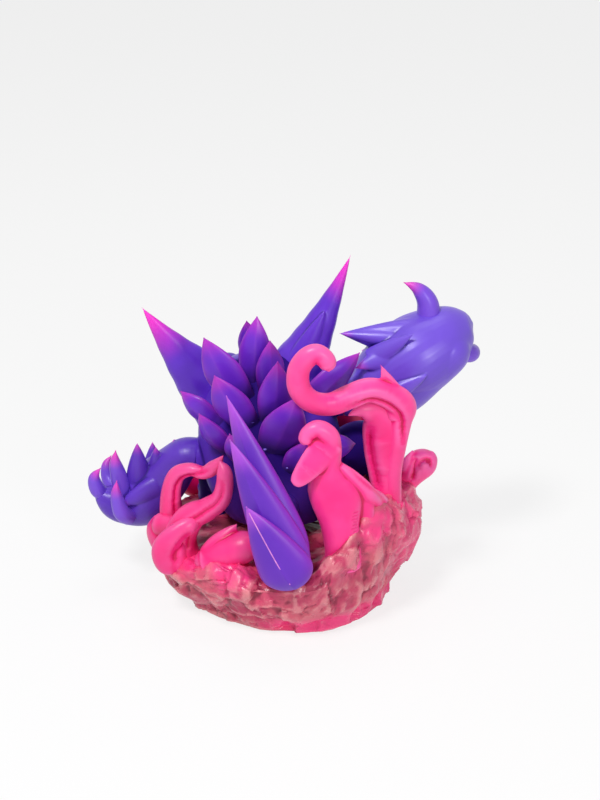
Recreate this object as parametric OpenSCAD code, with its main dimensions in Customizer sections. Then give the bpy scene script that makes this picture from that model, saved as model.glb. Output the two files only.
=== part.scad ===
// An alebrije figure: a horned, spiny beast standing on a craggy rock wrapped in flames.
// +Z is up, the beast faces +Y, and the underside of the felt is centred on the origin.

/* [Rock base] */
// height of the rock's plateau above the floor, mm
base_h = 40; // [36:1:46]
// radius of the rock where it meets the felt, mm
foot_r = 57; // [53:1:61]
// widest radius of the rock, just under the plateau, mm
rim_r = 71; // [69:1:75]
// how far the right shoulder of the rock stands above the plateau, mm
right_rise = 22; // [19:1:25]
// depth of the crags as a share of the radius
rock_rough = 0.06; // [0.04:0.01:0.07]
// how far the rock swells out on the left, as a share of the radius
left_swell = 0.08; // [0.05:0.01:0.1]
// how far right of the middle the rock's right shoulder starts to rise, mm
slope_from = 20; // [18:1:22]
// width of that slope, mm
slope_w = 22; // [20:1:24]
// radius of the felt disc under the rock, mm
felt_r = 44; // [36:1:46]
// thickness of the felt, mm
felt_t = 1; // [0.6:0.2:2]

/* [Body] */
// height of the torso from the hips to the neck, mm
torso_h = 88; // [84:1:92]
// greatest width of the torso, mm
torso_w = 78; // [74:1:82]
// greatest depth of the torso, mm
torso_d = 62; // [58:1:66]
// how far the neck stands to the left of the hips, mm
lean = 16; // [13:1:19]
// how far the hips stand to the left of the rock's middle, mm
hip_shift = 6; // [3:1:9]
// how far the neck stands forward of the hips, mm
hunch = 8; // [6:1:11]
// gap between the plateau and the belly, mm
belly_gap = 6; // [5:1:8]
// thickness of a leg at the thigh, mm
thigh_d = 30; // [27:1:33]
// length of a foot, mm
foot_l = 28; // [25:1:31]

/* [Head] */
// length of the head from skull to nose, mm
head_l = 66; // [60:1:72]
// greatest width of the head, mm
head_w = 48; // [45:1:52]
// greatest height of the head, mm
head_h = 40; // [37:1:42]
// how far the middle of the head hangs below the nape, mm
head_drop = 26; // [23:1:28]
// radius of an eye, mm
eye_r = 5; // [4:0.5:6]
// length of a horn from its root inside the shoulders, mm
horn_l = 86; // [80:1:90]
// width of the left horn at its root, mm
left_horn_w = 54; // [50:1:56]
// width of the right horn at its root, mm
right_horn_w = 38; // [35:1:40]
// thickness of a horn from front to back at its root, mm
horn_t = 34; // [31:1:36]
// how far the middle of a horn bows down from the straight line, mm
horn_sag = 5; // [3:0.5:7]
// growth rings along a horn
horn_rings = 7; // [5:1:9]

/* [Back spines] */
// length of the longest spine outside the back, mm
spine_l = 41; // [37:1:44]
// width of the widest spine, mm
spine_w = 22; // [19:1:23]
// thickness of a spine at its widest, mm
spine_t = 7; // [6:0.5:7.5]
// depth of a spine's root inside the back, mm
spine_root = 5; // [4:0.5:6]
// how far a spine curls in towards its tip, as a share of its length
spine_curl = 0.16; // [0.1:0.02:0.2]

/* [Arms] */
// length of the raised right arm, mm
right_arm_l = 88; // [84:1:92]
// thickness of the right forearm, mm
right_arm_d = 46; // [43:1:48]
// length of the lowered left arm, mm
left_arm_l = 70; // [66:1:74]
// thickness of the left forearm, mm
left_arm_d = 31; // [28:1:33]
// radius of the flat shoulder seats, mm
seat_r = 11; // [10:0.5:12]
// radius of the shoulder pegs, mm
peg_r = 4; // [3:0.5:5]
// length of the shoulder pegs, mm
peg_l = 28; // [24:1:30]
// how far the right shoulder seat stands out from the torso, mm
right_seat_out = 13; // [11:1:15]
// how far the left shoulder seat stands out from the torso, mm
left_seat_out = 3; // [2:0.5:5]
// length of the shoulder seats, mm
seat_l = 24; // [22:1:26]
// height of the right shoulder as a share of the torso's height
right_u = 0.76; // [0.74:0.01:0.78]
// height of the left shoulder as a share of the torso's height
left_u = 0.36; // [0.34:0.01:0.38]

/* [Tail] */
// length of the tail from its butt to the top tip, mm
tail_l = 105; // [100:1:110]
// width of the tail, mm
tail_w = 28; // [25:1:31]
// thickness of the tail, mm
tail_t = 14; // [12:1:16]

/* [Flames] */
// height of the tall right flame, mm
tall_h = 100; // [96:1:104]
// reach of the tall flame's curl across the back, mm
tall_reach = 56; // [53:1:58]
// width of the tall flame at its foot, mm
tall_w = 22; // [19:1:24]
// height of the front flame, mm
front_h = 72; // [68:1:75]
// width of the front flame at its foot, mm
front_w = 30; // [27:1:32]
// how far the front flame leans away from its foot, mm
front_reach = 19; // [17:1:20]
// height of the left flame loop, mm
loop_h = 60; // [56:1:62]
// width of the strands of the left flame loop at their feet, mm
loop_w = 15; // [13:1:16]
// how far the loop's strands lean away from their feet, mm
loop_reach = 42; // [40:1:44]
// how far the two flames under the face lean, mm
face_reach = 24; // [21:1:26]
// height of the two flames under the face, mm
face_flame_h = 60; // [54:1:66]
// width of the two flames under the face, mm
face_flame_w = 20; // [17:1:22]
// thickness of the low lobes on the left rim, mm
lobe_d = 18; // [16:1:19]
// length of the low flame behind the tail, mm
mound_l = 46; // [43:1:48]
// length of the bud on the rock's right shoulder, mm
bud_l = 20; // [18:1:21]

/* [Fits] */
// radius of the tenons under the flames, mm
tenon_r = 3.5; // [2.5:0.5:4]
// length of the tenons under the flames, mm
tenon_l = 11; // [8:1:13]
// gap round a glued tenon or root, mm
glue_gap = 0.1; // [0.05:0.05:0.2]
// gap round a shoulder peg, mm
run_gap = 0.05; // [0.03:0.01:0.1]
// gap between an arm and its shoulder seat, mm
seat_gap = 0.4; // [0.3:0.1:0.8]
// radius of the steel pins in the feet, the neck and the tail, mm
pin_r = 2.5; // [2:0.25:3]
// length of the steel pins in the feet, mm
pin_l = 22; // [20:1:24]

/* [Hidden] */
$fn = 48;
back = [0, -1, 0];
up = [0, 0, 1];
forward = [0, 1, 0];

// name, height up the torso, angle round from the spine line, share of length, share of width, fan, lift
SPINES = [
    ["spine_crown", 0.92, 4, 0.91, 0.78, 18, 24],
    ["spine_nape_left", 0.84, -16, 1.07, 0.95, -8, 30],
    ["spine_nape_right", 0.85, 18, 0.77, 0.7, 10, 32],
    ["spine_shoulder_left", 0.73, -46, 0.61, 0.72, -32, 28],
    ["spine_shoulder_right", 0.72, 50, 1, 0.78, 57, 36],
    ["spine_upper_left", 0.7, -13, 1.02, 0.9, -7, 38],
    ["spine_upper_right", 0.7, 12, 1.05, 0.84, 13, 38],
    ["spine_middle_left", 0.57, -34, 0.7, 0.66, -9, 34],
    ["spine_middle_right", 0.54, 7, 1.16, 1.05, 28, 42],
    ["spine_side_right", 0.44, 52, 0.44, 0.6, 98, 36],
    ["spine_low_left", 0.48, -20, 0.66, 0.62, 3, 40],
    ["spine_low_right", 0.41, 18, 0.58, 0.66, 26, 42]
];

// vectors and curves
function unit(v) = v / norm(v);
function spot(s) = [s[0], s[1], s[2]];
function at_w(p, w) = concat(p, [w, w]);
function curve(p, i, t) = let (
    a = p[max(i - 1, 0)], b = p[i], c = p[i + 1], d = p[min(i + 2, len(p) - 1)])
    0.5 * (2 * b + (c - a) * t + (2 * a - 5 * b + 4 * c - d) * t * t
        + (3 * b - a - 3 * c + d) * t * t * t);
function smooth(p, steps) = [
    for (i = [0 : len(p) - 2]) for (k = [0 : steps - 1]) curve(p, i, k / steps),
    p[len(p) - 1]];
function along(st, i) = unit(spot(st[min(i + 1, len(st) - 1)]) - spot(st[max(i - 1, 0)]));

// one cross-section: s is x, y, z, half width and half thickness, and face is the broad side's direction
function ring(s, t, face, sides, edge, keel) = let (
    n = unit(face - (face * t) * t), b = cross(t, n))
    [for (k = [0 : sides - 1]) let (c = cos(360 * k / sides), q = sin(360 * k / sides))
        spot(s) + n * s[4] * sign(c) * pow(abs(c), edge) + b * s[3] * sign(q) * pow(abs(q), keel)];

// a solid through a row of sections, closed to a point or a flat face at each end
module sweep(st, face, sides = 14, edge = 1, keel = 1) {
    last = len(st) - 1;
    rings = [for (i = [0 : last]) if (st[i][3] > 0) ring(st[i], along(st, i), face, sides, edge, keel)];
    rows = len(rings);
    a = rows * sides;
    polyhedron(
        points = concat([for (r = rings) each r], [spot(st[0]), spot(st[last])]),
        faces = concat(
            [for (k = [0 : sides - 1]) [k, (k + 1) % sides, a]],
            [for (j = [0 : rows - 2]) for (k = [0 : sides - 1])
                [j * sides + k, (j + 1) * sides + k, (j + 1) * sides + (k + 1) % sides]],
            [for (j = [0 : rows - 2]) for (k = [0 : sides - 1])
                [j * sides + k, (j + 1) * sides + (k + 1) % sides, j * sides + (k + 1) % sides]],
            [for (k = [0 : sides - 1]) [a - sides + k, a + 1, a - sides + (k + 1) % sides]]));
}

// sections of a pointed leaf, bowed along its broad side's direction
function leaf(root, dir, out, l, w, t, bow = 0, full = 1.8, steps = 6) =
    [for (i = [0 : steps]) let (u = i / steps)
        concat(root + dir * l * u + out * bow * u * u,
            [w / 2 * (1 - pow(u, full)), t / 2 * (1 - pow(u, full))])];

// sections of a plump petal: a sunk root, widest before its middle, curling in towards its tip
petal_steps = [-1, 0, 0.12, 0.26, 0.4, 0.55, 0.7, 0.84, 0.94, 1];
function petal_w(v) = v < 0.4 ? 0.6 + 0.4 * sin(90 * max(v, 0) / 0.4) : 1 - pow((v - 0.4) / 0.6, 1.6);
function petal(skin, dir, out, l, sunk, w, t) = [for (v = petal_steps)
    concat(skin + dir * (v < 0 ? -sunk : l * v) - out * l * spine_curl * pow(max(v, 0), 2),
        [w / 2 * petal_w(v), t / 2 * petal_w(v)])];

// a pointed leaf from one place to another
module spike(from, to, w, t, face, full = 1.5, bow = 0, sides = 10, steps = 5) {
    l = norm(to - from);
    sweep(leaf(from, unit(to - from), face, l, w, t, bow, full, steps), face, sides);
}

// a round rod between two places
module rod(from, to, r) {
    v = to - from;
    l = norm(v);
    translate(from)
        rotate([0, acos(v[2] / l), atan2(v[1], v[0])])
            cylinder(r = r, h = l);
}

// the rock
function rise(x) = let (t = min(max((x - slope_from) / slope_w, 0), 1)) right_rise * t * t * (3 - 2 * t);
function ground(x, y) = base_h + rise(x);
rock_sides = 54;
rock_levels = [
    [0, foot_r], [0.16, foot_r * 1.02], [0.36, (foot_r + rim_r) / 2], [0.6, rim_r * 0.97],
    [0.8, rim_r], [0.95, rim_r * 0.94], [1, rim_r * 0.83], [1, rim_r * 0.55], [1, rim_r * 0.28]];
// split stone: waves with straight flanks, so that flat facets meet in sharp edges
function tri(a) = asin(sin(a)) / 90;
function crag(a, k) = 0.5 * tri(4 * a + 40 * k) + 0.3 * tri(9 * a - 65 * k) + 0.2 * tri(13 * a + 110 * k);
function left_bulge(a, k) = left_swell * [0, 0.8, 1.5, 1.5, 1.5, 1, 1, 0, 0][k] * pow(max(cos(a - 208), 0), 8);
function rock_point(a, k) = let (
    r = rock_levels[k][1] * (1 + left_bulge(a, k) + rock_rough * (k > 6 ? 0.5 : 1) * crag(a, k)),
    x = r * cos(a), y = r * sin(a), h = rock_levels[k][0],
    lump = k == 0 ? 0 : base_h * (k > 5 ? 0.01 : 0.05) * (tri(5 * a + 70 * k) + 0.6 * tri(9 * a - 50 * k)))
    [x, y, felt_t + (base_h - felt_t) * h + rise(x) * h * h + lump];

module rock_form() {
    n = rock_sides;
    rows = len(rock_levels);
    polyhedron(
        points = concat(
            [for (k = [0 : rows - 1]) for (i = [0 : n - 1]) rock_point(360 * i / n, k)],
            [[0, 0, felt_t], [0, 0, base_h]]),
        faces = concat(
            [for (i = [0 : n - 1]) [i, (i + 1) % n, rows * n]],
            [for (k = [0 : rows - 2]) for (i = [0 : n - 1])
                [k * n + i, (k + 1) * n + i, (k + 1) * n + (i + 1) % n]],
            [for (k = [0 : rows - 2]) for (i = [0 : n - 1])
                [k * n + i, (k + 1) * n + (i + 1) % n, k * n + (i + 1) % n]],
            [for (i = [0 : n - 1]) [(rows - 1) * n + i, rows * n + 1, (rows - 1) * n + (i + 1) % n]]));
}

// where each flame stands on the rock: share of the rim's radius, and angle round
function stand(share, a) = let (x = rim_r * share * cos(a), y = rim_r * share * sin(a)) [x, y, ground(x, y)];
tall_at = stand(0.83, -22);
inner_at = stand(0.75, -28);
front_at = stand(0.86, -63);
loop_upper_at = stand(0.94, 203);
loop_lower_at = stand(0.96, 214);
bud_at = stand(0.92, 3);
face_right_at = stand(0.81, 60);
face_left_at = stand(0.86, 122);
mound_at = stand(0.89, 233);
stands = [
    tall_at, inner_at, front_at, loop_upper_at, loop_lower_at,
    bud_at, face_right_at, face_left_at, mound_at];

// a flame's sections from shares of its reach, height and width
function flame(at, shape, reach, h, w) = [for (p = shape)
    [at[0] + p[0] * reach, at[1] + p[1] * reach, at[2] + p[2] * h, p[3] * w / 2, p[4] * w / 2]];

tall_shape = [
    [-0.02, 0, -0.06, 0.66, 0.5], [-0.03, -0.04, 0.06, 0.64, 0.5], [-0.02, -0.09, 0.21, 0.56, 0.48],
    [0.02, -0.14, 0.37, 0.52, 0.46], [0.05, -0.2, 0.52, 0.56, 0.46], [0.06, -0.26, 0.62, 0.68, 0.47],
    [-0.05, -0.31, 0.69, 0.66, 0.47], [-0.25, -0.36, 0.735, 0.6, 0.46], [-0.43, -0.41, 0.71, 0.6, 0.46],
    [-0.61, -0.46, 0.68, 0.56, 0.45], [-0.78, -0.52, 0.71, 0.54, 0.45], [-0.89, -0.57, 0.79, 0.54, 0.45],
    [-0.9, -0.59, 0.89, 0.52, 0.44], [-0.83, -0.6, 0.96, 0.5, 0.42], [-0.74, -0.6, 0.985, 0.47, 0.4],
    [-0.66, -0.6, 0.955, 0.44, 0.38], [-0.635, -0.59, 0.915, 0.36, 0.32], [-0.63, -0.59, 0.885, 0, 0]];
inner_shape = [
    [0, 0, -0.06, 0.9, 0.5], [0.01, -0.02, 0.06, 0.86, 0.48], [0.02, -0.06, 0.22, 0.98, 0.44],
    [0.01, -0.09, 0.34, 1.04, 0.42], [0, -0.14, 0.47, 1, 0.42], [-0.05, -0.2, 0.57, 0.74, 0.4],
    [-0.17, -0.25, 0.61, 0.44, 0.36], [-0.32, -0.31, 0.59, 0, 0]];
front_shape = [
    [0, 0, -0.08, 0.66, 0.5], [0, -0.09, 0.07, 0.64, 0.5], [-0.09, -0.14, 0.27, 0.68, 0.5],
    [-0.18, -0.19, 0.45, 0.86, 0.48], [-0.34, -0.2, 0.6, 0.84, 0.45], [-0.4, -0.22, 0.69, 0.62, 0.42],
    [-0.42, -0.25, 0.77, 0.44, 0.39], [-0.39, -0.3, 0.9, 0.4, 0.36], [-0.45, -0.35, 1, 0.37, 0.34],
    [-0.72, -0.4, 1.06, 0.31, 0.3], [-0.98, -0.44, 1.03, 0.27, 0.26], [-1.07, -0.45, 0.97, 0.22, 0.22],
    [-1.09, -0.45, 0.94, 0, 0]];
buttress_shape = [
    [-0.14, -0.29, 0.76, 0.16, 0.16], [0.12, -0.22, 0.68, 0.27, 0.24], [0.44, -0.08, 0.57, 0.34, 0.3],
    [0.7, 0.07, 0.47, 0.38, 0.34], [0.86, 0.23, 0.36, 0.34, 0.32], [0.91, 0.28, 0.12, 0.3, 0.3]];
upper_shape = [
    [0.04, 0, -0.1, 1.1, 0.75], [-0.04, -0.03, 0.2, 0.95, 0.72], [-0.06, -0.04, 0.47, 0.74, 0.64],
    [0.02, -0.07, 0.68, 0.62, 0.56], [0.2, -0.12, 0.755, 0.5, 0.5], [0.38, -0.18, 0.745, 0.47, 0.48],
    [0.52, -0.22, 0.82, 0.5, 0.46], [0.64, -0.27, 0.95, 0, 0]];
lower_shape = [
    [0, 0, -0.1, 1.25, 0.8], [-0.06, 0, 0.13, 1.2, 0.8], [0.08, -0.01, 0.34, 1.05, 0.78],
    [0.3, -0.05, 0.44, 0.86, 0.74], [0.47, -0.09, 0.55, 0.72, 0.66], [0.53, -0.09, 0.7, 0.62, 0.58],
    [0.52, -0.07, 0.83, 0.5, 0.5], [0.46, -0.06, 0.92, 0, 0]];
face_shape = [
    [0, 0, -0.1, 0.8, 0.5], [0.1, 0.05, 0.3, 0.95, 0.62], [-0.05, 0.08, 0.58, 0.72, 0.54],
    [0.1, 0.02, 0.8, 0.5, 0.4], [0.3, -0.02, 1, 0, 0]];

// rounded lobes from the foot: x, y, z and radius as shares of the length
mound_shape = [
    [-0.34, 0.02, -0.04, 0], [-0.24, 0.02, 0.05, 0.09], [-0.04, 0, 0.11, 0.17], [0.16, -0.02, 0.18, 0.19],
    [0.36, -0.06, 0.28, 0.16], [0.56, -0.1, 0.38, 0]];
bud_shape = [
    [-0.15, 0, -0.3, 0.25], [0.05, 0, 0.1, 0.33], [0.25, 0, 0.42, 0.43], [0.48, 0, 0.65, 0.41],
    [0.66, 0, 0.86, 0.22], [0.7, 0, 0.96, 0]];
function lobe(at, shape, l) = smooth([for (p = shape) at_w(at + spot(p) * l, p[3] * l)], 2);

module tall_form(gap) {
    sweep(smooth(flame(tall_at, tall_shape, tall_reach, tall_h, tall_w + 2 * gap), 2), back, 12);
    knee = tall_at + [tall_reach * 0.06, -tall_reach * 0.24, tall_h * 0.57];
    tip = tall_at + [-tall_reach * 0.155, -tall_reach * 0.36, tall_h * 0.875];
    spike(knee, tip, tall_w * 0.52, tall_w * 0.42, back);
}

module inner_form() {
    sweep(smooth(flame(inner_at, inner_shape, tall_reach, tall_h, tall_w * 0.85), 2), back, 12);
}

module front_form() {
    sweep(smooth(flame(front_at, front_shape, front_reach, front_h, front_w), 2), back, 12);
    knee = front_at + [-front_reach * 0.36, -front_reach * 0.42, front_h * 0.97];
    tip = front_at + [-front_reach * 1.34, -front_reach * 0.66, front_h * 0.66];
    spike(knee, tip, front_w * 0.56, front_w * 0.28, back, 3.5);
    sweep(smooth(flame(front_at, buttress_shape, front_reach, front_h, front_w), 2), back, 10);
}

module face_form(at, reach, h, w) {
    sweep(smooth(flame(at, face_shape, reach, h, w), 3), forward, 12);
}

// a flame standing on the rock, with its tenon
module planted(at) {
    difference() {
        children();
        rock_form();
    }
    tenon(at, 0);
}

module tenon(at, gap) {
    translate([at[0], at[1], at[2] - tenon_l - gap])
        cylinder(r = tenon_r + gap, h = tenon_l * (gap > 0 ? 1.7 : 1.45) + gap);
}

module base_felt() {
    color("#3a2230")
        cylinder(r = felt_r, h = felt_t);
}

module rock_base() {
    color("#b8506e")
        difference() {
            rock_form();
            for (at = stands) tenon(at, glue_gap);
            foot_pin_hole(-1);
            foot_pin_hole(1);
        }
}

module flame_tall() {
    color("#f02f80")
        planted(tall_at) tall_form(0);
}

module flame_tall_inner() {
    color("#f02f80")
        difference() {
            planted(inner_at) inner_form();
            tall_form(glue_gap * 3);
            tenon(tall_at, glue_gap);
        }
}

module flame_front() {
    color("#f02f80")
        planted(front_at) front_form();
}

module upper_form(gap) {
    sweep(smooth(flame(loop_upper_at, upper_shape, loop_reach, loop_h, loop_w + gap), 2), back, 12);
}

module lower_form(gap) {
    sweep(smooth(flame(loop_lower_at, lower_shape, loop_reach, loop_h, loop_w + gap), 2), back, 12);
}

module flame_loop_upper() {
    color("#f02f80")
        planted(loop_upper_at) upper_form(0);
}

module flame_loop_lower() {
    color("#f02f80")
        difference() {
            planted(loop_lower_at) lower_form(0);
            upper_form(glue_gap * 2);
            tenon(loop_upper_at, glue_gap);
        }
}

// low lobes on the swollen left rim: distance past the rim and radius as shares of the lobe's thickness,
// and height as a share of the plateau's
left_rim = rim_r * (1 + left_swell);
function rim_lobe(a, shape) = smooth([for (p = shape)
    at_w([(left_rim + p[0] * lobe_d) * cos(a), (left_rim + p[0] * lobe_d) * sin(a), base_h * p[1]],
        p[2] * lobe_d)], 2);

lobe_shape = [[-0.6, 0.66, 0], [-0.3, 0.8, 0.34], [-0.1, 1.02, 0.5], [0, 1.24, 0.42], [0.1, 1.44, 0]];
drop_shape = [[-0.25, 0.7, 0], [-0.05, 0.82, 0.36], [0, 1.02, 0.5], [-0.05, 1.2, 0.42], [-0.25, 1.4, 0]];

module lobe_form() {
    sweep(rim_lobe(200, lobe_shape), [cos(200), sin(200), 0], 12);
}

module drop_form() {
    sweep(rim_lobe(214, drop_shape), [cos(214), sin(214), 0], 12);
}

module loop_forms(gap) {
    upper_form(gap * 2);
    lower_form(gap * 2);
    tenon(loop_upper_at, gap);
    tenon(loop_lower_at, gap);
}

module flame_left_lobe() {
    color("#f02f80")
        difference() {
            lobe_form();
            rock_form();
            loop_forms(glue_gap);
        }
}

module flame_left_drop() {
    color("#f02f80")
        difference() {
            drop_form();
            rock_form();
            loop_forms(glue_gap);
            mound_form(glue_gap);
            lobe_form();
        }
}

module mound_form(gap) {
    sweep([for (p = lobe(mound_at, mound_shape, mound_l)) p[3] > 0 ? p + [0, 0, 0, gap, gap] : p], back, 12);
    spike(mound_at + [0.06, 0, 0.12] * mound_l, mound_at + [0.22, 0.04, 0.46] * mound_l,
        mound_l * 0.26 + 2 * gap, mound_l * 0.2 + 2 * gap, back);
}

module flame_mound() {
    color("#f02f80")
        planted(mound_at) mound_form(0);
}

module flame_bud() {
    color("#f02f80")
        planted(bud_at) sweep(lobe(bud_at, bud_shape, bud_l), back, 12);
}

module flame_face_right() {
    color("#f02f80")
        planted(face_right_at) face_form(face_right_at, face_reach, face_flame_h, face_flame_w * 1.3);
}

module flame_face_left() {
    color("#f02f80")
        planted(face_left_at) face_form(face_left_at, -face_reach, face_flame_h * 0.55, face_flame_w);
}

// the torso: a bent barrel, its sections given by the height share u
function swell(u) = pow(1 - pow(abs(u - 0.42) / 0.6, 2.2), 0.5);
function torso_at(u) = [
    -hip_shift - lean * u * pow(abs(u), 0.5),
    hunch * u * u,
    base_h + belly_gap + torso_h * u,
    torso_w / 2 * swell(u),
    torso_d / 2 * swell(u)];
function torso_axis(u) = unit(spot(torso_at(u + 0.01)) - spot(torso_at(u - 0.01)));
function torso_back(u) = unit(back - (back * torso_axis(u)) * torso_axis(u));
function torso_point(u, a) = let (s = torso_at(u), n = torso_back(u), b = cross(torso_axis(u), n))
    spot(s) + n * s[4] * cos(a) + b * s[3] * sin(a);
function torso_out(u, a) = let (s = torso_at(u), n = torso_back(u), b = cross(torso_axis(u), n))
    unit(n * cos(a) / s[4] + b * sin(a) / s[3]);

module torso_form() {
    sweep([for (i = [0 : 13]) torso_at(i / 13)], back, 24);
}

// shoulder seats: flat round faces that the arms turn against
function seat(u, side, out) = let (s = torso_at(u)) [s[0] + side * (s[3] + out), s[1], s[2]];
right_seat = seat(right_u, 1, right_seat_out);
left_seat = seat(left_u, -1, left_seat_out);
peg_in = peg_l * 0.5;

module seats() {
    rod(right_seat - [seat_l, 0, 0], right_seat, seat_r);
    rod(left_seat + [seat_l, 0, 0], left_seat, seat_r);
}

module peg_holes(r) {
    rod(right_seat - [peg_in + seat_gap, 0, 0], right_seat + [peg_r, 0, 0], r);
    rod(left_seat + [peg_in + seat_gap, 0, 0], left_seat - [peg_r, 0, 0], r);
}

// back spines: petals whose roots sit in pockets of their own shape
module spine_form(i, gap) {
    s = SPINES[i];
    out = torso_out(s[1], s[2]);
    axis = torso_axis(s[1]);
    side = unit(cross(axis, out));
    dir = unit(cos(s[6]) * (cos(s[5]) * axis + sin(s[5]) * side) + sin(s[6]) * out);
    sunk = spine_root / sin(s[6]);
    sweep(petal(torso_point(s[1], s[2]), dir, out, spine_l * s[3], sunk + gap, spine_w * s[4] + 2 * gap,
        spine_t + 2 * gap), out, 12, 1.1, 1.1);
}

module spine(i) {
    color("#6a37d0")
        spine_form(i, 0);
}

module torso() {
    color("#5a30b8")
        difference() {
            union() {
                torso_form();
                seats();
            }
            for (i = [0 : len(SPINES) - 1]) spine_form(i, glue_gap);
            peg_holes(peg_r + run_gap);
            neck_rod(pin_r + glue_gap, glue_gap);
            tail_rod(pin_r + glue_gap, glue_gap);
        }
}

// the head
neck = spot(torso_at(1));
head_shape = [
    [0, 0, 0], [0.05, 0.55, 0.5], [0.2, 0.95, 0.92], [0.36, 1, 1], [0.56, 0.84, 0.8], [0.76, 0.6, 0.6],
    [0.91, 0.5, 0.48], [0.98, 0.28, 0.26], [1, 0, 0]];
function head_at(p) = [
    neck[0] + head_w * 0.08 * p[0], neck[1] + head_l * (0.03 + p[0]),
    neck[2] - head_drop - head_h * 0.35 * p[0] * p[0],
    head_w / 2 * p[1], head_h / 2 * p[2]];

module head_form() {
    sweep(smooth([for (p = head_shape) head_at(p)], 2), up, 18);
}

module neck_rod(r, gap) {
    mid = neck + [head_w * 0.02, 0, -head_drop - head_h * 0.1];
    rod(mid - forward * (head_l * 0.03 + gap), mid + forward * (head_l * 0.45 + gap), r);
}

module neck_pin() {
    color("#b9bcc2")
        neck_rod(pin_r, 0);
}

function eye_at(side) = [
    neck[0] + head_w * (0.04 + side * 0.37), neck[1] + head_l * 0.55, neck[2] - head_drop + head_h * 0.2];

module eyes() {
    color("#f2d64a")
        for (side = [-1, 1]) translate(eye_at(side)) sphere(r = eye_r, $fn = 32);
}

// horns: root inside the shoulders, bowing up to the tip
left_horn_dir = unit([-55, -8, 66]);
right_horn_dir = unit([34, 3, 71]);
left_horn_at = neck + [-torso_w * 0.025, torso_d * 0.08, -torso_h * 0.41];
right_horn_at = neck + [torso_w * 0.22, torso_d * 0.06, -torso_h * 0.25];
function horn_taper(u) = (1 - pow(u, 1.04)) * (1 + 0.02 * sin(360 * horn_rings * u) * min(1, 4 - 4 * u));
function horn(at, dir, w) = [for (i = [0 : 4 * horn_rings]) let (u = i / (4 * horn_rings))
    concat(at + dir * horn_l * u - up * horn_sag * 4 * u * (1 - u),
        [w / 2 * horn_taper(u), horn_t / 2 * horn_taper(u)])];

module horn_form(side) {
    if (side < 0) {
        sweep(horn(left_horn_at, left_horn_dir, left_horn_w), back, 14);
    } else {
        sweep(horn(right_horn_at, right_horn_dir, right_horn_w), back, 14);
        spike(right_horn_at + right_horn_dir * horn_l * 0.2 + back * horn_t * 0.26,
            right_horn_at + right_horn_dir * horn_l * 0.64 + back * horn_t * 0.19,
            right_horn_w * 0.38, horn_t * 0.24, back, 1.8);
    }
}

module left_horn() {
    color("#6a37d0")
        difference() {
            horn_form(-1);
            torso_form();
            seats();
            head_form();
            for (i = [0 : len(SPINES) - 1]) spine_form(i, glue_gap);
        }
}

module right_horn() {
    color("#6a37d0")
        difference() {
            horn_form(1);
            torso_form();
            seats();
            head_form();
            for (i = [0 : len(SPINES) - 1]) spine_form(i, glue_gap);
        }
}

// the crest spine stands on the crown of the head
module crest_form(gap) {
    sweep(petal(spot(head_at([0.26, 1, 1])) + up * head_h * 0.46, unit([-2, -3, 20]), forward, spine_l * 0.62,
        spine_root + gap, spine_w * 0.6 + 2 * gap, spine_t + 2 * gap), back, 12, 1.1, 1.1);
}

module head_crest() {
    color("#6a37d0")
        difference() {
            crest_form(0);
            torso_form();
        }
}

module head() {
    color("#5a30b8")
        difference() {
            head_form();
            torso_form();
            crest_form(glue_gap);
            for (side = [-1, 1]) translate(eye_at(side)) sphere(r = eye_r + glue_gap, $fn = 32);
            neck_rod(pin_r + glue_gap, glue_gap);
        }
}

// the jaw hangs under the muzzle
jaw_shape = [
    [0.34, 0, 0], [0.38, 0.5, 0.3], [0.5, 0.72, 0.4], [0.7, 0.54, 0.34], [0.88, 0.4, 0.26], [0.95, 0, 0]];
function jaw_at(p) = [
    neck[0] + head_w * 0.08 * p[0], neck[1] + head_l * (0.03 + p[0]),
    neck[2] - head_drop - head_h * (0.55 + 0.22 * p[0] * p[0]),
    head_w / 2 * p[1], head_h / 2 * p[2]];

module jaw() {
    color("#5a30b8")
        difference() {
            sweep(smooth([for (p = jaw_shape) jaw_at(p)], 2), up, 14);
            head_form();
            torso_form();
        }
}

// legs
function hip(side) = [torso_w * (side * 0.3 - 0.04), torso_d * 0.1, base_h + belly_gap + torso_h * 0.24];
function heel(side) = let (x = torso_w * (side < 0 ? -0.5 : 0.64), y = torso_d * 0.22) [x, y, ground(x, y)];

// sections of a paw from the heel: x, y, z and half width and thickness as shares of the foot's length
paw_shape = [
    [0.04, -0.29, 0.14, 0, 0], [0.04, -0.21, 0.14, 0.21, 0.18], [0.07, 0.3, 0.11, 0.36, 0.29],
    [0.11, 0.62, 0.04, 0.39, 0.25], [0.11, 0.76, 0, 0.29, 0.18], [0.11, 0.8, 0, 0, 0]];

module leg_form(side) {
    a = hip(side);
    b = heel(side);
    r = thigh_d / 2;
    knee = (a + b) / 2 + [side * 0.3, 0.35, side < 0 ? 0.35 : 0.86] * r;
    limb = [at_w(a, r * 0.9), at_w(knee, r), at_w(b + [side * 0.14, 0.2, 0.57] * r, r * 0.66),
        at_w(b + [side * 0.14, 0.07, -0.43] * r, r * 0.66)];
    sweep(smooth(limb, 2), forward, 14);
    paw = [for (p = paw_shape) concat(b + [side * p[0], p[1], p[2]] * foot_l, [p[3], p[4]] * foot_l)];
    sweep(smooth(paw, 2), up, 14);
}

module leg(side) {
    color("#5a30b8")
        difference() {
            leg_form(side);
            rock_form();
            torso_form();
            toe_forms(side, glue_gap);
            foot_pin_hole(side);
        }
}

module left_leg() {
    leg(-1);
}

module right_leg() {
    leg(1);
}

module toe_forms(side, gap) {
    b = heel(side);
    for (k = [-1 : 1]) {
        from = b + [side * 0.11 + k * 0.23, 0.6, 0.18] * foot_l;
        thick = foot_l * 0.21 + 2 * gap;
        spike(from, from + [k * 0.09, 0.38, -0.04] * foot_l, thick, thick, up, 1.5, 0, 8, 4);
    }
}

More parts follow.
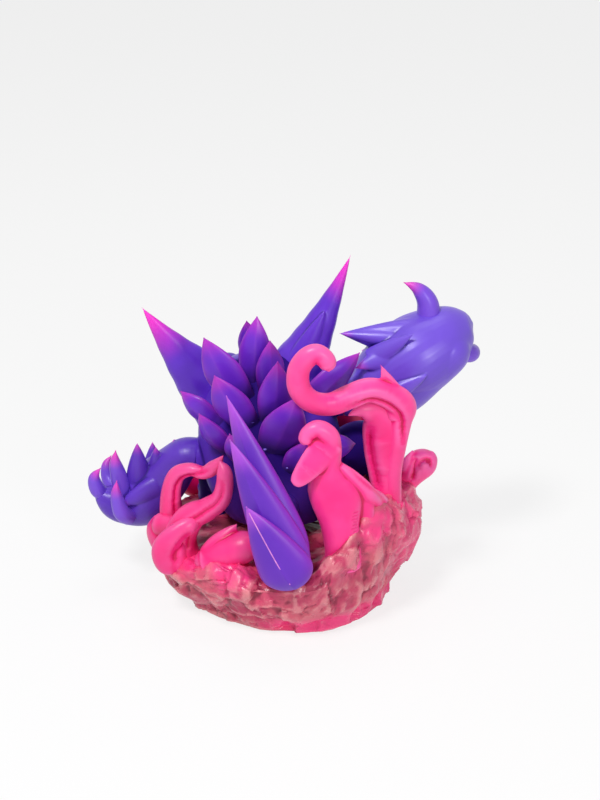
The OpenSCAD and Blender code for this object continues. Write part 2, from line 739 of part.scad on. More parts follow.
module left_toe_claws() {
    color("#f05ad0")
        toe_forms(-1, 0);
}

module right_toe_claws() {
    color("#f05ad0")
        toe_forms(1, 0);
}

module foot_pin_rod(side, r, gap) {
    b = heel(side) + [side * 0.07, 0.11, 0] * foot_l;
    rod(b - up * (pin_l / 2 + gap), b + up * (pin_l / 2 + gap), r);
}

module foot_pin_hole(side) {
    foot_pin_rod(side, pin_r + glue_gap, glue_gap);
}

module left_foot_pin() {
    color("#b9bcc2")
        foot_pin_rod(-1, pin_r, 0);
}

module right_foot_pin() {
    color("#b9bcc2")
        foot_pin_rod(1, pin_r, 0);
}

// the tail: three nested keeled scales on a stalk, draped over the rim
tail_butt = [tail_w * 0.14, -rim_r + tail_t * 0.2, base_h + tail_t * 0.07];
tail_out = unit([0, -1, 0.1]);
function scale_leaf(from, to, w, t) = let (l = norm(to - from), dir = unit(to - from))
    [for (u = [0, 0.02, 0.07, 0.15, 0.28, 0.45, 0.62, 0.78, 0.9, 1])
        let (f = pow(1 - pow(1 - min(u / 0.28, 1), 2), 0.5) * (1 - pow(max(u - 0.1, 0) / 0.9, 1.7)))
        concat(from + dir * l * u + tail_out * tail_t * 0.36 * u * u, [w / 2 * f, t / 2 * f])];
tail_dir = unit([-36, 15, 98]);

module top_form(gap) {
    sweep(scale_leaf(tail_butt, tail_butt + tail_dir * tail_l, tail_w + 2 * gap, tail_t + 2 * gap),
        tail_out, 14, 1, 1.3);
}

module middle_form(gap) {
    from = tail_butt + [0, -0.3, -0.07] * tail_t;
    to = from + unit([-34, 7, 80]) * tail_l * 0.83;
    sweep(scale_leaf(from, to, tail_w * 1.04 + 2 * gap, tail_t + 2 * gap), tail_out, 14, 1, 1.3);
}

module low_form() {
    from = tail_butt + [0, -0.6, -0.14] * tail_t;
    to = from + unit([-26, 2, 48]) * tail_l * 0.52;
    sweep(scale_leaf(from, to, tail_w * 1.1, tail_t), tail_out, 14, 1, 1.3);
}

module tail_top_scale() {
    color("#6a37d0")
        difference() {
            top_form(0);
            rock_form();
            tail_rod(pin_r + glue_gap, glue_gap);
        }
}

module tail_middle_scale() {
    color("#6a37d0")
        difference() {
            middle_form(0);
            top_form(glue_gap);
            rock_form();
        }
}

module tail_low_scale() {
    color("#6a37d0")
        difference() {
            low_form();
            middle_form(glue_gap);
            top_form(glue_gap);
            rock_form();
        }
}

tail_mid = tail_butt + tail_dir * tail_l * 0.26;
rump = torso_point(0.14, 0);

module tail_rod(r, gap) {
    rod(rump + (rump - tail_mid) * 0.3 + (rump - tail_mid) * 0.02 * (gap > 0 ? 1 : 0),
        tail_mid + (tail_mid - rump) * 0.02 * (gap > 0 ? 1 : 0), r);
}

module tail_pin() {
    color("#b9bcc2")
        tail_rod(pin_r, 0);
}

module tail_stalk() {
    color("#5a30b8")
        difference() {
            sweep(smooth([
                concat(rump + forward * tail_w * 0.28, [0.43, 0.39] * tail_w),
                concat((rump * 2 + tail_mid) / 3 + up * tail_w * 0.07, [0.36, 0.32] * tail_w),
                concat((rump + tail_mid * 2) / 3, [0.32, 0.28] * tail_w),
                concat(tail_mid, [0.32, 0.28] * tail_w)], 3), up, 14);
            torso_form();
            top_form(glue_gap);
            rock_form();
            tail_rod(pin_r + glue_gap, glue_gap);
        }
}

// arms: a flat shoulder disc that turns on its seat, then the limb
function limb(at, side, l, d, shape) = concat(
    [concat(at + [side * seat_gap, 0, 0], [seat_r, seat_r])],
    smooth([for (p = shape) [at[0] + side * (seat_gap + p[0] * l), at[1] + p[1] * l, at[2] + p[2] * l,
        p[3] * d / 2, p[3] * d / 2]], 2));
right_shape = [
    [0.07, 0, 0, 0.49], [0.14, 0.02, 0.03, 0.56], [0.25, 0.07, 0.11, 0.8], [0.42, 0.11, 0.21, 0.98],
    [0.56, 0.14, 0.29, 0.9], [0.68, 0.17, 0.36, 0.68], [0.76, 0.18, 0.4, 0.36], [0.79, 0.18, 0.41, 0]];
left_shape = [
    [0.08, 0, 0, 0.71], [0.16, 0.03, -0.08, 0.78], [0.28, 0.09, -0.24, 0.95], [0.44, 0.1, -0.4, 1.04],
    [0.61, 0.07, -0.43, 0.76], [0.73, 0.03, -0.36, 0.46], [0.81, 0, -0.28, 0]];
// a place on an arm, from shares of its length
function arm_on(at, side, l, p) = at + [side * (seat_gap + p[0] * l), p[1] * l, p[2] * l];
// spikes of an arm: root, tip, width and thickness as shares of the arm's thickness, and the way it faces
right_spikes = [
    [[0.5, 0.1, 0.34], [-0.04, 0.06, 0.385], 0.48, 0.32, up],
    [[0.5, 0, 0.36], [0.05, -0.08, 0.21], 0.5, 0.27, unit(back + up * 0.5)],
    [[0.54, -0.06, 0.26], [0.35, -0.145, 0.115], 0.24, 0.2, back],
    [[0.44, 0.27, 0.2], [0.1, 0.25, 0.2], 0.38, 0.22, forward]];
left_spikes = [
    [[0.46, 0.05, -0.28], [0.45, -0.07, 0.16], 0.48, 0.35, back],
    [[0.31, 0.05, -0.16], [0.31, -0.04, 0.11], 0.36, 0.29, back],
    [[0.19, 0.06, -0.1], [0.17, 0.04, 0.14], 0.36, 0.29, back],
    [[0.3, -0.06, -0.22], [0.62, -0.14, -0.36], 0.45, 0.29, back],
    [[0.36, 0.22, -0.26], [0.36, 0.26, 0.02], 0.39, 0.26, forward]];
// claws: places along each one as shares of the arm's length, and radius as a share of its thickness
right_claw_shape = [
    [[0.51, 0.13, 0.42, 0.15], [0.5, 0.12, 0.56, 0.125], [0.44, 0.115, 0.65, 0.08], [0.35, 0.11, 0.695, 0]],
    [[0.69, 0.12, 0.25, 0.12], [0.78, 0.18, 0.21, 0.11], [0.8, 0.3, 0.18, 0.08], [0.76, 0.39, 0.13, 0]],
    [[0.65, 0.26, 0.34, 0.12], [0.71, 0.33, 0.34, 0.11], [0.74, 0.44, 0.3, 0.08], [0.72, 0.52, 0.24, 0]],
    [[0.58, 0.29, 0.2, 0.12], [0.62, 0.4, 0.16, 0.11], [0.62, 0.5, 0.1, 0.08], [0.58, 0.56, 0.04, 0]]];
left_claw_shape = [
    [[0.59, 0.01, -0.32, 0.17], [0.61, -0.02, -0.16, 0.15], [0.63, -0.05, -0.02, 0.1], [0.62, -0.07, 0.09, 0]],
    [[0.74, 0.05, -0.35, 0.14], [0.79, 0.01, -0.28, 0.14], [0.805, -0.014, -0.17, 0.1], [0.75, -0.03, -0.08, 0]],
    [[0.54, -0.08, -0.48, 0.16], [0.59, -0.15, -0.4, 0.15], [0.62, -0.17, -0.24, 0.1], [0.61, -0.18, -0.12, 0]],
    [[0.64, 0.16, -0.38, 0.155], [0.72, 0.24, -0.31, 0.135], [0.74, 0.28, -0.2, 0.09], [0.7, 0.29, -0.12, 0]]];

module arm_spikes(at, side, l, d, shape) {
    for (s = shape) spike(arm_on(at, side, l, s[0]), arm_on(at, side, l, s[1]), s[2] * d, s[3] * d, s[4]);
}

module claws(at, side, l, d, shape, gap) {
    for (c = shape) claw([for (p = c) at_w(arm_on(at, side, l, p), p[3] * d)], gap);
}

module right_arm() {
    color("#5a30b8")
        difference() {
            union() {
                sweep(limb(right_seat, 1, right_arm_l, right_arm_d, right_shape), back, 16);
                arm_spikes(right_seat, 1, right_arm_l, right_arm_d, right_spikes);
            }
            rod(right_seat, right_seat + [seat_gap + peg_in, 0, 0], peg_r);
            claws_right(glue_gap);
        }
}

module claw(points, gap) {
    sweep(smooth([for (p = points) p[3] > 0 ? p + [0, 0, 0, gap, gap] : p], 2), unit([1, -1, 0.3]), 10);
}

module claws_right(gap) {
    claws(right_seat, 1, right_arm_l, right_arm_d, right_claw_shape, gap);
}

module right_claws() {
    color("#f05ad0")
        claws_right(0);
}

module right_shoulder_peg() {
    color("#d8d4cc")
        rod(right_seat - [peg_in, 0, 0], right_seat + [seat_gap + peg_in, 0, 0], peg_r);
}

module left_arm() {
    color("#5a30b8")
        difference() {
            union() {
                sweep(limb(left_seat, -1, left_arm_l, left_arm_d, left_shape), back, 16);
                arm_spikes(left_seat, -1, left_arm_l, left_arm_d, left_spikes);
            }
            rod(left_seat, left_seat - [seat_gap + peg_in, 0, 0], peg_r);
            claws_left(glue_gap);
        }
}

module claws_left(gap) {
    claws(left_seat, -1, left_arm_l, left_arm_d, left_claw_shape, gap);
}

module left_claws() {
    color("#f05ad0")
        claws_left(0);
}

module left_shoulder_peg() {
    color("#d8d4cc")
        rod(left_seat + [peg_in, 0, 0], left_seat - [seat_gap + peg_in, 0, 0], peg_r);
}

base_felt();
rock_base();
flame_tall();
flame_tall_inner();
flame_front();
flame_loop_upper();
flame_loop_lower();
flame_left_lobe();
flame_left_drop();
flame_mound();
flame_bud();
flame_face_right();
flame_face_left();
left_foot_pin();
right_foot_pin();
left_leg();
right_leg();
left_toe_claws();
right_toe_claws();
torso();
neck_pin();
head();
jaw();
eyes();
left_horn();
right_horn();
head_crest();
tail_pin();
tail_stalk();
tail_top_scale();
tail_middle_scale();
tail_low_scale();
right_shoulder_peg();
right_arm();
right_claws();
left_shoulder_peg();
left_arm();
left_claws();
for (i = [0 : len(SPINES) - 1])
    spine(i);
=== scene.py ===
# %% [markdown]
# # A horned, spiny alebrije beast on a flaming rock
# The figure is a moulded and airbrushed display piece: a violet beast with a spiny back, standing on a
# craggy rose rock among curling hot pink flames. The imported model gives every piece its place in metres.
# Each solid is kept for collision, and a finely sculpted piece with painted nodes stands in for it here.

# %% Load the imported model
import math
import bpy
import numpy as np
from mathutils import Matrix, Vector, kdtree, noise


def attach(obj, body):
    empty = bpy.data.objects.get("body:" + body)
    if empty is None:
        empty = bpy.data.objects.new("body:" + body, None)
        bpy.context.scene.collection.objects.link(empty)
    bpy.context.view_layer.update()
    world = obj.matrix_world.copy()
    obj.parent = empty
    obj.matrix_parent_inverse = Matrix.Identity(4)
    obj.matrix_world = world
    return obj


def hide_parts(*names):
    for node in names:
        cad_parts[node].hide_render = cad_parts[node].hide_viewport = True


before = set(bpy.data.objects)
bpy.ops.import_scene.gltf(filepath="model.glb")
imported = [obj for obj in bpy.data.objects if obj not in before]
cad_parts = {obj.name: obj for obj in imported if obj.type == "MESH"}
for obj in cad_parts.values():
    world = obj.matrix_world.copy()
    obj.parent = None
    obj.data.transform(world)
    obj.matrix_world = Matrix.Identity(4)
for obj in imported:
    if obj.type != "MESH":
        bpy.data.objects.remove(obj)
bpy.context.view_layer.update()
scene = bpy.context.scene
scene.view_settings.view_transform = "Standard"

# %% [markdown]
# ## Camera
# The photograph looks at the beast's back from a little above. A long lens keeps the perspective gentle,
# and a small shift puts the figure where the photograph has it.

# %% The camera
MM = 0.001
camera_tilt = math.radians(25)
camera_range = 900 * MM
look_at = Vector((0, 0, 75 * MM))
photo_camera = bpy.data.cameras.new("photo_camera")
photo_camera.lens = 73.64
photo_camera.shift_x = 0.0125
photo_camera.shift_y = 0.078
camera = bpy.data.objects.new("photo_camera", photo_camera)
scene.collection.objects.link(camera)
camera.location = look_at + Vector((0, -math.cos(camera_tilt), math.sin(camera_tilt))) * camera_range
camera.rotation_euler = (math.pi / 2 - camera_tilt, 0, 0)
scene.camera = camera
print("camera at", [round(c, 3) for c in camera.location])

# %% [markdown]
# ## A small helper for nodes
# Materials and Geometry Nodes are both made of nodes joined by links. This class wraps one output of a
# tree, so that `1 - mask * 0.5` writes its own Math nodes, and one method makes every other node.

# %% A value in a node tree
class Value:
    def __init__(self, tree, socket=None):
        self.tree = tree
        self.socket = socket

    def node(self, kind, settings=None, sockets=None, out=0):
        made = self.tree.nodes.new(kind)
        for name, setting in (settings or {}).items():
            if name == "stops":
                set_stops(made.color_ramp, setting)
            else:
                setattr(made, name, setting)
        for name, given in (sockets or {}).items():
            if isinstance(given, Value):
                self.tree.links.new(given.socket, made.inputs[name])
            else:
                made.inputs[name].default_value = given
        return Value(self.tree, made.outputs[out] if made.outputs else None)

    def maths(self, operation, first, second=0.0):
        return self.node("ShaderNodeMath", {"operation": operation}, {0: first, 1: second})

    def clamp(self):
        return self.node("ShaderNodeClamp", {}, {"Value": self})

    def fade(self, low, high):
        """A soft step from 0 at low to 1 at high."""
        return self.node("ShaderNodeMapRange", {"interpolation_type": "SMOOTHSTEP"},
                         {"Value": self, "From Min": low, "From Max": high})

    def __add__(self, other):
        return self.maths("ADD", self, other)

    def __radd__(self, other):
        return self.maths("ADD", other, self)

    def __sub__(self, other):
        return self.maths("SUBTRACT", self, other)

    def __rsub__(self, other):
        return self.maths("SUBTRACT", other, self)

    def __mul__(self, other):
        return self.maths("MULTIPLY", self, other)

    def __rmul__(self, other):
        return self.maths("MULTIPLY", other, self)

    def __pow__(self, other):
        return self.maths("POWER", self, other)

    def __abs__(self):
        return self.maths("ABSOLUTE", self)


def set_stops(ramp, stops):
    while len(ramp.elements) > 1:
        ramp.elements.remove(ramp.elements[-1])
    for i, (place, colour) in enumerate(stops):
        element = ramp.elements[0] if i == 0 else ramp.elements.new(place)
        element.position = place
        element.color = colour


def paint(red, green, blue):
    """A paint colour as it looks on a screen, 0 to 255, turned to Blender's linear light."""
    def linear(c):
        c = c / 255
        return c / 12.92 if c < 0.04045 else ((c + 0.055) / 1.055) ** 2.4
    return (linear(red), linear(green), linear(blue), 1.0)


def mixed(factor, first, second):
    """A colour between two colours, or sockets of colours."""
    return factor.node("ShaderNodeMix", {"data_type": "RGBA"}, {0: factor, 6: first, 7: second}, out=2)


print("hot pink in linear light:", [round(c, 3) for c in paint(255, 60, 150)])

# %% [markdown]
# ## Paints
# The real figure is satin paint on plastic. Airbrushing leaves soft fades: pink at each tip and a redder rim
# on the spines. Shade is painted dark violet into the gaps and hollows, and a painted highlight lightens the
# ridges and the keels. The meshes carry these places as attributes: `tip` runs from a root to its point,
# `rim` marks a leaf's edges, `keel` its middle line, `relief` tells hollows from ridges and `shade` marks
# what lies in the dark between other pieces, where shade is painted. The nodes only read them, so the
# paint follows the form from every side.

# %% Start of a paint: coordinates, attributes and fine unevenness
def new_paint(name):
    """An empty material, and a value to make its nodes with."""
    material = bpy.data.materials.new(name)
    material.use_nodes = True
    material.node_tree.nodes.clear()
    return material, Value(material.node_tree)


def attribute(at, name):
    return at.node("ShaderNodeAttribute", {"attribute_name": name}, {}, out=2)


def grain(at, scale, detail=3.0, rough=0.55):
    """Cloudy noise fixed to the piece."""
    place = at.node("ShaderNodeTexCoord", {}, {}, out=3)
    return at.node("ShaderNodeTexNoise", {}, {"Vector": place, "Scale": scale, "Detail": detail,
                                              "Roughness": rough})


FINE_BUMP = 0.00012


def coat(at, colour, roughness, height, depth, strength=0.35, **fixed):
    """Close a paint: its colour, gloss and fine bumps, on a Principled shader."""
    bump = at.node("ShaderNodeBump", {}, {"Strength": strength, "Distance": depth, "Height": height})
    sockets = {"Base Color": colour, "Roughness": roughness, "Normal": bump}
    for name, value in fixed.items():
        sockets[name.replace("_", " ").title().replace("Ior", "IOR")] = value
    shader = at.node("ShaderNodeBsdfPrincipled", {}, sockets)
    at.node("ShaderNodeOutputMaterial", {}, {"Surface": shader})


# %% Body, spine and claw paint
def violet_paint(name, plain, shade_tone, lit, blush, tip_from, tip_to, rim_share=0.0, keel_highlight_share=0.0,
                 gloss=0.32):
    """Airbrushed violet blushing to pink at the tips, with painted shade in the hollows and a painted
    highlight on the ridges and along the keel.

    Colours are red, green and blue, 0 to 255; blush holds those of the rim, the tip and the very point.
    """
    material, at = new_paint(name)
    marks = "relief", "tip", "rim", "keel", "shade"
    relief, tip, rim, keel, shade = (attribute(at, mark) for mark in marks)
    plain, shade_tone, lit, edge_blush, tip_blush, point_blush = (paint(*c) for c in (plain, shade_tone, lit, *blush))
    cloud = grain(at, 45.0, 2.0)
    speck = grain(at, 1500.0, 2.0)
    uneven = (cloud - 0.5) * 0.16
    colour = mixed((0.25 + cloud * 0.5).clamp(), plain, lit)
    # painted highlight: the ridges are mixed towards the lit colour
    colour = mixed(relief.fade(0.15, 1.0) * 0.35, colour, lit)
    colour = mixed((rim * rim_share).clamp(), colour, edge_blush)
    # painted highlight: a pale line along the keel
    colour = mixed((keel * keel_highlight_share).clamp(), colour, point_blush)
    colour = mixed((tip + uneven).fade(tip_from, tip_to), colour, tip_blush)
    colour = mixed((tip + uneven).fade(tip_to - 0.04, tip_to + 0.1), colour, point_blush)
    # painted shade: the hollows, and the places marked shade, are mixed towards the shade colour
    colour = mixed(((-1 * relief).fade(0.05, 0.9) * 0.85 + shade).clamp(), colour, shade_tone)
    rough = 0.27 + cloud * 0.1 + speck * 0.04 + shade * 0.55
    coat(at, colour, rough, speck, FINE_BUMP, strength=0.2, specular_ior_level=gloss)
    return material


BODY_BLUSH = (150, 45, 190), (226, 70, 214), (255, 104, 220)
SPINE_BLUSH = (160, 34, 170), (184, 52, 190), (236, 128, 226)
HORN_BLUSH = (140, 46, 200), (232, 52, 200), (255, 64, 205)
SCALE_BLUSH = (150, 40, 180), (180, 80, 216), (246, 150, 230)
CLAW_BLUSH = (170, 60, 200), (224, 70, 190), (250, 92, 196)
body_paint = violet_paint("airbrushed_violet_body", (80, 40, 172), (34, 8, 104), (98, 56, 194),
                          BODY_BLUSH, 0.6, 1.02)
spine_paint = violet_paint("violet_spine_fading_to_pink", (90, 30, 186), (28, 2, 96), (118, 48, 208),
                           SPINE_BLUSH, 0.7, 1.02, 0.6, 0.06)
horn_paint = violet_paint("violet_horn_fading_to_hot_pink", (86, 38, 188), (44, 12, 124), (110, 54, 208),
                          HORN_BLUSH, 0.55, 0.92)
scale_paint = violet_paint("violet_tail_scale_with_pink_edges", (88, 32, 172), (50, 8, 118), (108, 48, 192),
                           SCALE_BLUSH, 0.7, 1.0, 0.7)
claw_paint = violet_paint("violet_claw_with_pink_point", (104, 66, 200), (52, 18, 134), (128, 84, 218),
                          CLAW_BLUSH, 0.6, 0.98)
arm_paint = violet_paint("airbrushed_violet_arm", (92, 58, 192), (40, 14, 128), (120, 84, 218),
                         BODY_BLUSH, 0.8, 1.05, gloss=0.55)
shaded_paint = violet_paint("violet_body_paint_in_shade", (80, 40, 172), (34, 8, 104), (98, 56, 192),
                            BODY_BLUSH, 0.9, 1.1, gloss=0.06)
# painted shade: the left arm's paint is a darker copy of the right arm's, for the side that lies in shade
left_arm_shaded_paint = violet_paint("violet_left_arm_in_painted_shade", (86, 46, 178), (40, 12, 118), (104, 62, 196),
                              CLAW_BLUSH, 0.7, 1.1)
print("violet paints:", sum("violet" in made.name for made in bpy.data.materials))


# %% Flame and rock paint
def flame_finish():
    """Hot pink satin, with painted shade in crimson pink in the creases and where shade is marked, and a
    painted highlight in lighter pink along the ridges.
    """
    material, at = new_paint("hot_pink_flame")
    relief = attribute(at, "relief")
    shade = attribute(at, "shade")
    cloud = grain(at, 38.0, 3.0)
    speck = grain(at, 1300.0, 2.0)
    colour = mixed(cloud.fade(0.3, 0.75), paint(250, 36, 130), paint(255, 58, 148))
    # painted highlight along the ridges
    colour = mixed(relief.fade(0.1, 1.0) * 0.65, colour, paint(255, 112, 184))
    # painted shade in the creases and where shade is marked
    colour = mixed(((-1 * relief).fade(0.05, 0.8) + shade).clamp(), colour, paint(206, 2, 84))
    rough = 0.3 + cloud * 0.08 + speck * 0.05
    coat(at, colour, rough, speck, FINE_BUMP, strength=0.2, specular_ior_level=0.36)
    return material


def rock_finish():
    """Rose stone: painted shade in crimson in the cracks, pale brushwork on the swells that is also a painted
    highlight, and hot pink overspray by the flames.
    """
    material, at = new_paint("rose_rock_with_painted_shade_and_highlight")
    relief = attribute(at, "relief")
    spray = attribute(at, "spray")
    cloud = grain(at, 55.0, 4.0, 0.6)
    streak = grain(at, 170.0, 4.0, 0.6)
    speck = grain(at, 1100.0, 3.0, 0.7)
    colour = mixed(cloud.fade(0.32, 0.7), paint(192, 46, 94), paint(210, 92, 112))
    # painted shade: crimson in the cracks
    colour = mixed((-1 * relief + (cloud - 0.5) * 0.5).fade(0.05, 0.8) * 0.9, colour, paint(138, 12, 58))
    # pale brushwork on the swells, which also serves as a painted highlight
    dry_brush_and_highlight = (relief + (streak - 0.5) * 0.9).fade(0.15, 1.0)
    colour = mixed(dry_brush_and_highlight * 0.6, colour, paint(230, 150, 154))
    colour = mixed((spray + (streak - 0.5) * 0.4).fade(0.2, 0.8) * 0.85, colour, paint(246, 52, 132))
    rough = 0.2 + streak * 0.2 - dry_brush_and_highlight * 0.04
    coat(at, colour, rough, speck * 0.4 + streak, 0.0005, strength=0.35, specular_ior_level=0.5)
    return material


flame_paint = flame_finish()
rock_paint = rock_finish()
print("flame and rock paint made")


# %% Small finishes: eyes, fangs, glue, the painted keel highlight, felt, steel and plastic
def plain_finish(name, light, dark, scale, roughness, depth=0.0001, **fixed):
    """A nearly even finish: two close colours clouded together, with fine bumps."""
    material, at = new_paint(name)
    cloud = grain(at, scale, 4.0)
    speck = grain(at, scale * 6, 3.0)
    colour = mixed(cloud.fade(0.25, 0.75), paint(*dark), paint(*light))
    coat(at, colour, roughness + cloud * 0.12, speck, depth, **fixed)
    return material


felt_finish = plain_finish("plum_felt", (74, 42, 60), (48, 26, 40), 700.0, 0.82, 0.0004, strength=0.8)
steel_finish = plain_finish("plain_steel", (206, 208, 212), (180, 183, 190), 500.0, 0.25, metallic=1.0)
peg_finish = plain_finish("natural_plastic", (226, 220, 210), (208, 202, 190), 90.0, 0.4)
fang_finish = plain_finish("ivory_fang", (248, 238, 214), (226, 206, 176), 220.0, 0.3)
glue_finish = plain_finish("dried_glue", (132, 108, 216), (104, 76, 196), 300.0, 0.2)
# painted highlight: the pale line on the tail's keel
keel_highlight_finish = plain_finish("pale_keel_highlight", (236, 150, 226), (210, 120, 214), 300.0, 0.3)


def eye_finish(name, place, look):
    """Gloss eye: a dark slit in an amber iris, by the angle from the way the eye looks."""
    material, at = new_paint(name)
    spot = at.node("ShaderNodeTexCoord", {}, {}, out=3)
    spot = at.node("ShaderNodeVectorMath", {"operation": "SUBTRACT"}, {0: spot, 1: place})
    spot = at.node("ShaderNodeVectorMath", {"operation": "NORMALIZE"}, {0: spot})
    facing = at.node("ShaderNodeVectorMath", {"operation": "DOT_PRODUCT"}, {0: spot, 1: look}, out=1)
    fleck = grain(at, 1600.0, 3.0)
    colour = mixed(facing.fade(0.55, 0.7), paint(255, 240, 190), paint(250, 196, 40))
    colour = mixed((facing + (fleck - 0.5) * 0.1).fade(0.78, 0.95), colour, paint(232, 120, 18))
    colour = mixed(facing.fade(0.93, 0.95), colour, paint(28, 8, 30))
    coat(at, colour, 0.06 + fleck * 0.04, fleck, 0.00002, coat_weight=1.0)
    return material


print("small finishes made")

# %% [markdown]
# ## One tree that sweeps every form
# Horns, spines, scales, claws, flames and limbs all follow one rule: a section that swells and tapers
# along a curved line. One Geometry Nodes tree does it. Python lays down a few given points with their half
# widths, and the tree draws the smooth curve, sweeps a ring along it and shapes that ring: a groove for a
# flame's crease, a ridge for a leaf's keel.

# %% The sweep tree
THINNEST = 0.3 * MM


def new_group(name, **kinds):
    """A Geometry Nodes tree: the tree, its inputs as values, and their keys on a modifier."""
    tree = bpy.data.node_groups.new(name, "GeometryNodeTree")
    sockets = tree.interface
    sockets.new_socket("Geometry", in_out="INPUT", socket_type="NodeSocketGeometry")
    keys = {}
    for label, kind in kinds.items():
        keys[label] = sockets.new_socket(label, in_out="INPUT", socket_type="NodeSocket" + kind).identifier
    sockets.new_socket("Geometry", in_out="OUTPUT", socket_type="NodeSocketGeometry")
    start = tree.nodes.new("NodeGroupInput")
    return tree, {out.name: Value(tree, out) for out in start.outputs if out.name}, keys


def sweep_tree():
    tree, given, keys = new_group("sweep_along_strands", Sides="Int", Step="Float", Finish="Material")
    at = Value(tree)

    def vector(operation, *parts, out=0):
        return at.node("ShaderNodeVectorMath", {"operation": operation}, dict(enumerate(parts)), out)

    def scaled(direction, factor):
        return at.node("ShaderNodeVectorMath", {"operation": "SCALE"}, {0: direction, 3: factor})

    def read(name, kind="FLOAT"):
        return at.node("GeometryNodeInputNamedAttribute", {"data_type": kind}, {0: name})

    def keep(shape, name, value, kind="FLOAT"):
        return at.node("GeometryNodeStoreNamedAttribute", {"data_type": kind, "domain": "POINT"},
                       {0: shape, 2: name, 3: value})

    line = at.node("GeometryNodeMeshToCurve", {}, {0: given["Geometry"]})
    line = at.node("GeometryNodeCurveSplineType", {"spline_type": "CATMULL_ROM"}, {0: line})
    line = at.node("GeometryNodeResampleCurve", {"mode": "LENGTH"}, {0: line, 3: given["Step"]})
    tangent = at.node("GeometryNodeInputTangent")
    face = read("face", "FLOAT_VECTOR")
    across_line = scaled(tangent, vector("DOT_PRODUCT", face, tangent, out=1))
    normal = vector("NORMALIZE", vector("SUBTRACT", face, across_line))
    side = vector("CROSS_PRODUCT", tangent, normal)
    line = keep(line, "centre", at.node("GeometryNodeInputPosition"), "FLOAT_VECTOR")
    for name, way, half in (("outward", normal, "half_t"), ("sideways", side, "half_w")):
        line = keep(line, name, scaled(way, at.maths("MAXIMUM", read(half), THINNEST)), "FLOAT_VECTOR")

    ring = at.node("GeometryNodeCurvePrimitiveCircle", {"mode": "RADIUS"}, {0: given["Sides"], 4: 1.0})
    ring = keep(ring, "ring", at.node("GeometryNodeInputPosition"), "FLOAT_VECTOR")
    skin = at.node("GeometryNodeCurveToMesh", {}, {0: line, 1: ring, 3: True})
    around = read("ring", "FLOAT_VECTOR")
    c = at.node("ShaderNodeSeparateXYZ", {}, {0: around}, out=0)
    s = at.node("ShaderNodeSeparateXYZ", {}, {0: around}, out=1)
    front = at.maths("MAXIMUM", c, 0.0)
    middle = at.maths("MAXIMUM", 1 - abs(s), 0.0)
    bulge = at.maths("SIGN", c) * abs(c) ** read("edge")
    bulge = bulge - read("groove") * front ** 5.0 + read("ridge") * front * middle ** 4.0
    spread = at.maths("SIGN", s) * abs(s) ** read("taper")
    place = vector("ADD", read("centre", "FLOAT_VECTOR"), scaled(read("outward", "FLOAT_VECTOR"), bulge))
    place = vector("ADD", place, scaled(read("sideways", "FLOAT_VECTOR"), spread))
    skin = at.node("GeometryNodeSetPosition", {}, {0: skin, 2: place})
    skin = keep(skin, "rim", abs(s) ** 6.0)
    skin = keep(skin, "keel", front * middle ** 9.0)
    skin = at.node("GeometryNodeSetShadeSmooth", {}, {0: skin})
    skin = at.node("GeometryNodeRealizeInstances", {}, {0: skin})
    skin = at.node("GeometryNodeSetMaterial", {}, {0: skin, 2: given["Finish"]})
    at.node("NodeGroupOutput", {}, {0: skin})
    return tree, keys


SWEEP = sweep_tree()
print("sweep tree:", len(SWEEP[0].nodes), "nodes")


# %% Strands, and the meshes swept along them
def unit(v):
    v = np.asarray(v, float)
    return v / np.linalg.norm(v)


def shares_along(rows):
    """How far along its line each row lies, 0 to 1."""
    steps = np.linalg.norm(np.diff(rows[:, :3], axis=0), axis=1)
    return np.concatenate([[0], np.cumsum(steps)]) / steps.sum()


NO_TIP = 0.0, 0.0


def strand(rows, face, tip=(0.0, 1.0), edge=1.0, taper=1.0, groove=0.0, ridge=0.0):
    """Rows of x, y, z, half width and half thickness in mm, with the tip's fade and the section's form."""
    rows = np.array(rows, float)
    return {"rows": rows, "face": unit(face), "tip": tip[0] + (tip[1] - tip[0]) * shares_along(rows),
            "edge": edge, "taper": taper, "groove": groove, "ridge": ridge}


def store(mesh, name, values, kind="FLOAT"):
    values = np.asarray(values, np.float32)
    made = mesh.attributes.new(name, kind, "POINT")
    made.data.foreach_set("value" if kind == "FLOAT" else "vector", values.ravel())


def values_of(items, name, width=1, kind=float):
    """One property of all the items, as an array."""
    flat = np.empty(len(items) * width, kind)
    items.foreach_get(name, flat)
    return flat.reshape(-1, width) if width > 1 else flat


def places_of(mesh):
    return values_of(mesh.vertices, "co", 3)


def tree_of(points):
    """A tree that finds the nearest of some points."""
    tree = kdtree.KDTree(len(points))
    for i, place in enumerate(points):
        tree.insert(place, i)
    tree.balance()
    return tree


def made_mesh(thing):
    """The plain mesh that an object's modifiers make; the object is dropped."""
    seen = thing.evaluated_get(bpy.context.evaluated_depsgraph_get())
    mesh = bpy.data.meshes.new_from_object(seen)
    bpy.data.objects.remove(thing)
    return mesh


def face_outwards(mesh):
    """Turn the mesh the right way round where its signed volume is negative."""
    mesh.calc_loop_triangles()
    corners = values_of(mesh.loop_triangles, "vertices", 3, np.int32)
    a, b, c = (places_of(mesh)[corners[:, i]] for i in range(3))
    if np.einsum("ij,ij->i", a, np.cross(b, c)).sum() < 0:
        mesh.flip_normals()


def run_tree(name, guide, group, **settings):
    """The mesh that a Geometry Nodes tree makes from a guide."""
    thing = bpy.data.objects.new(name + "_guide", guide)
    scene.collection.objects.link(thing)
    modifier = thing.modifiers.new("tree", "NODES")
    modifier.node_group, keys = group
    for label, setting in settings.items():
        modifier[keys[label]] = setting
    mesh = made_mesh(thing)
    mesh.name = name
    return mesh


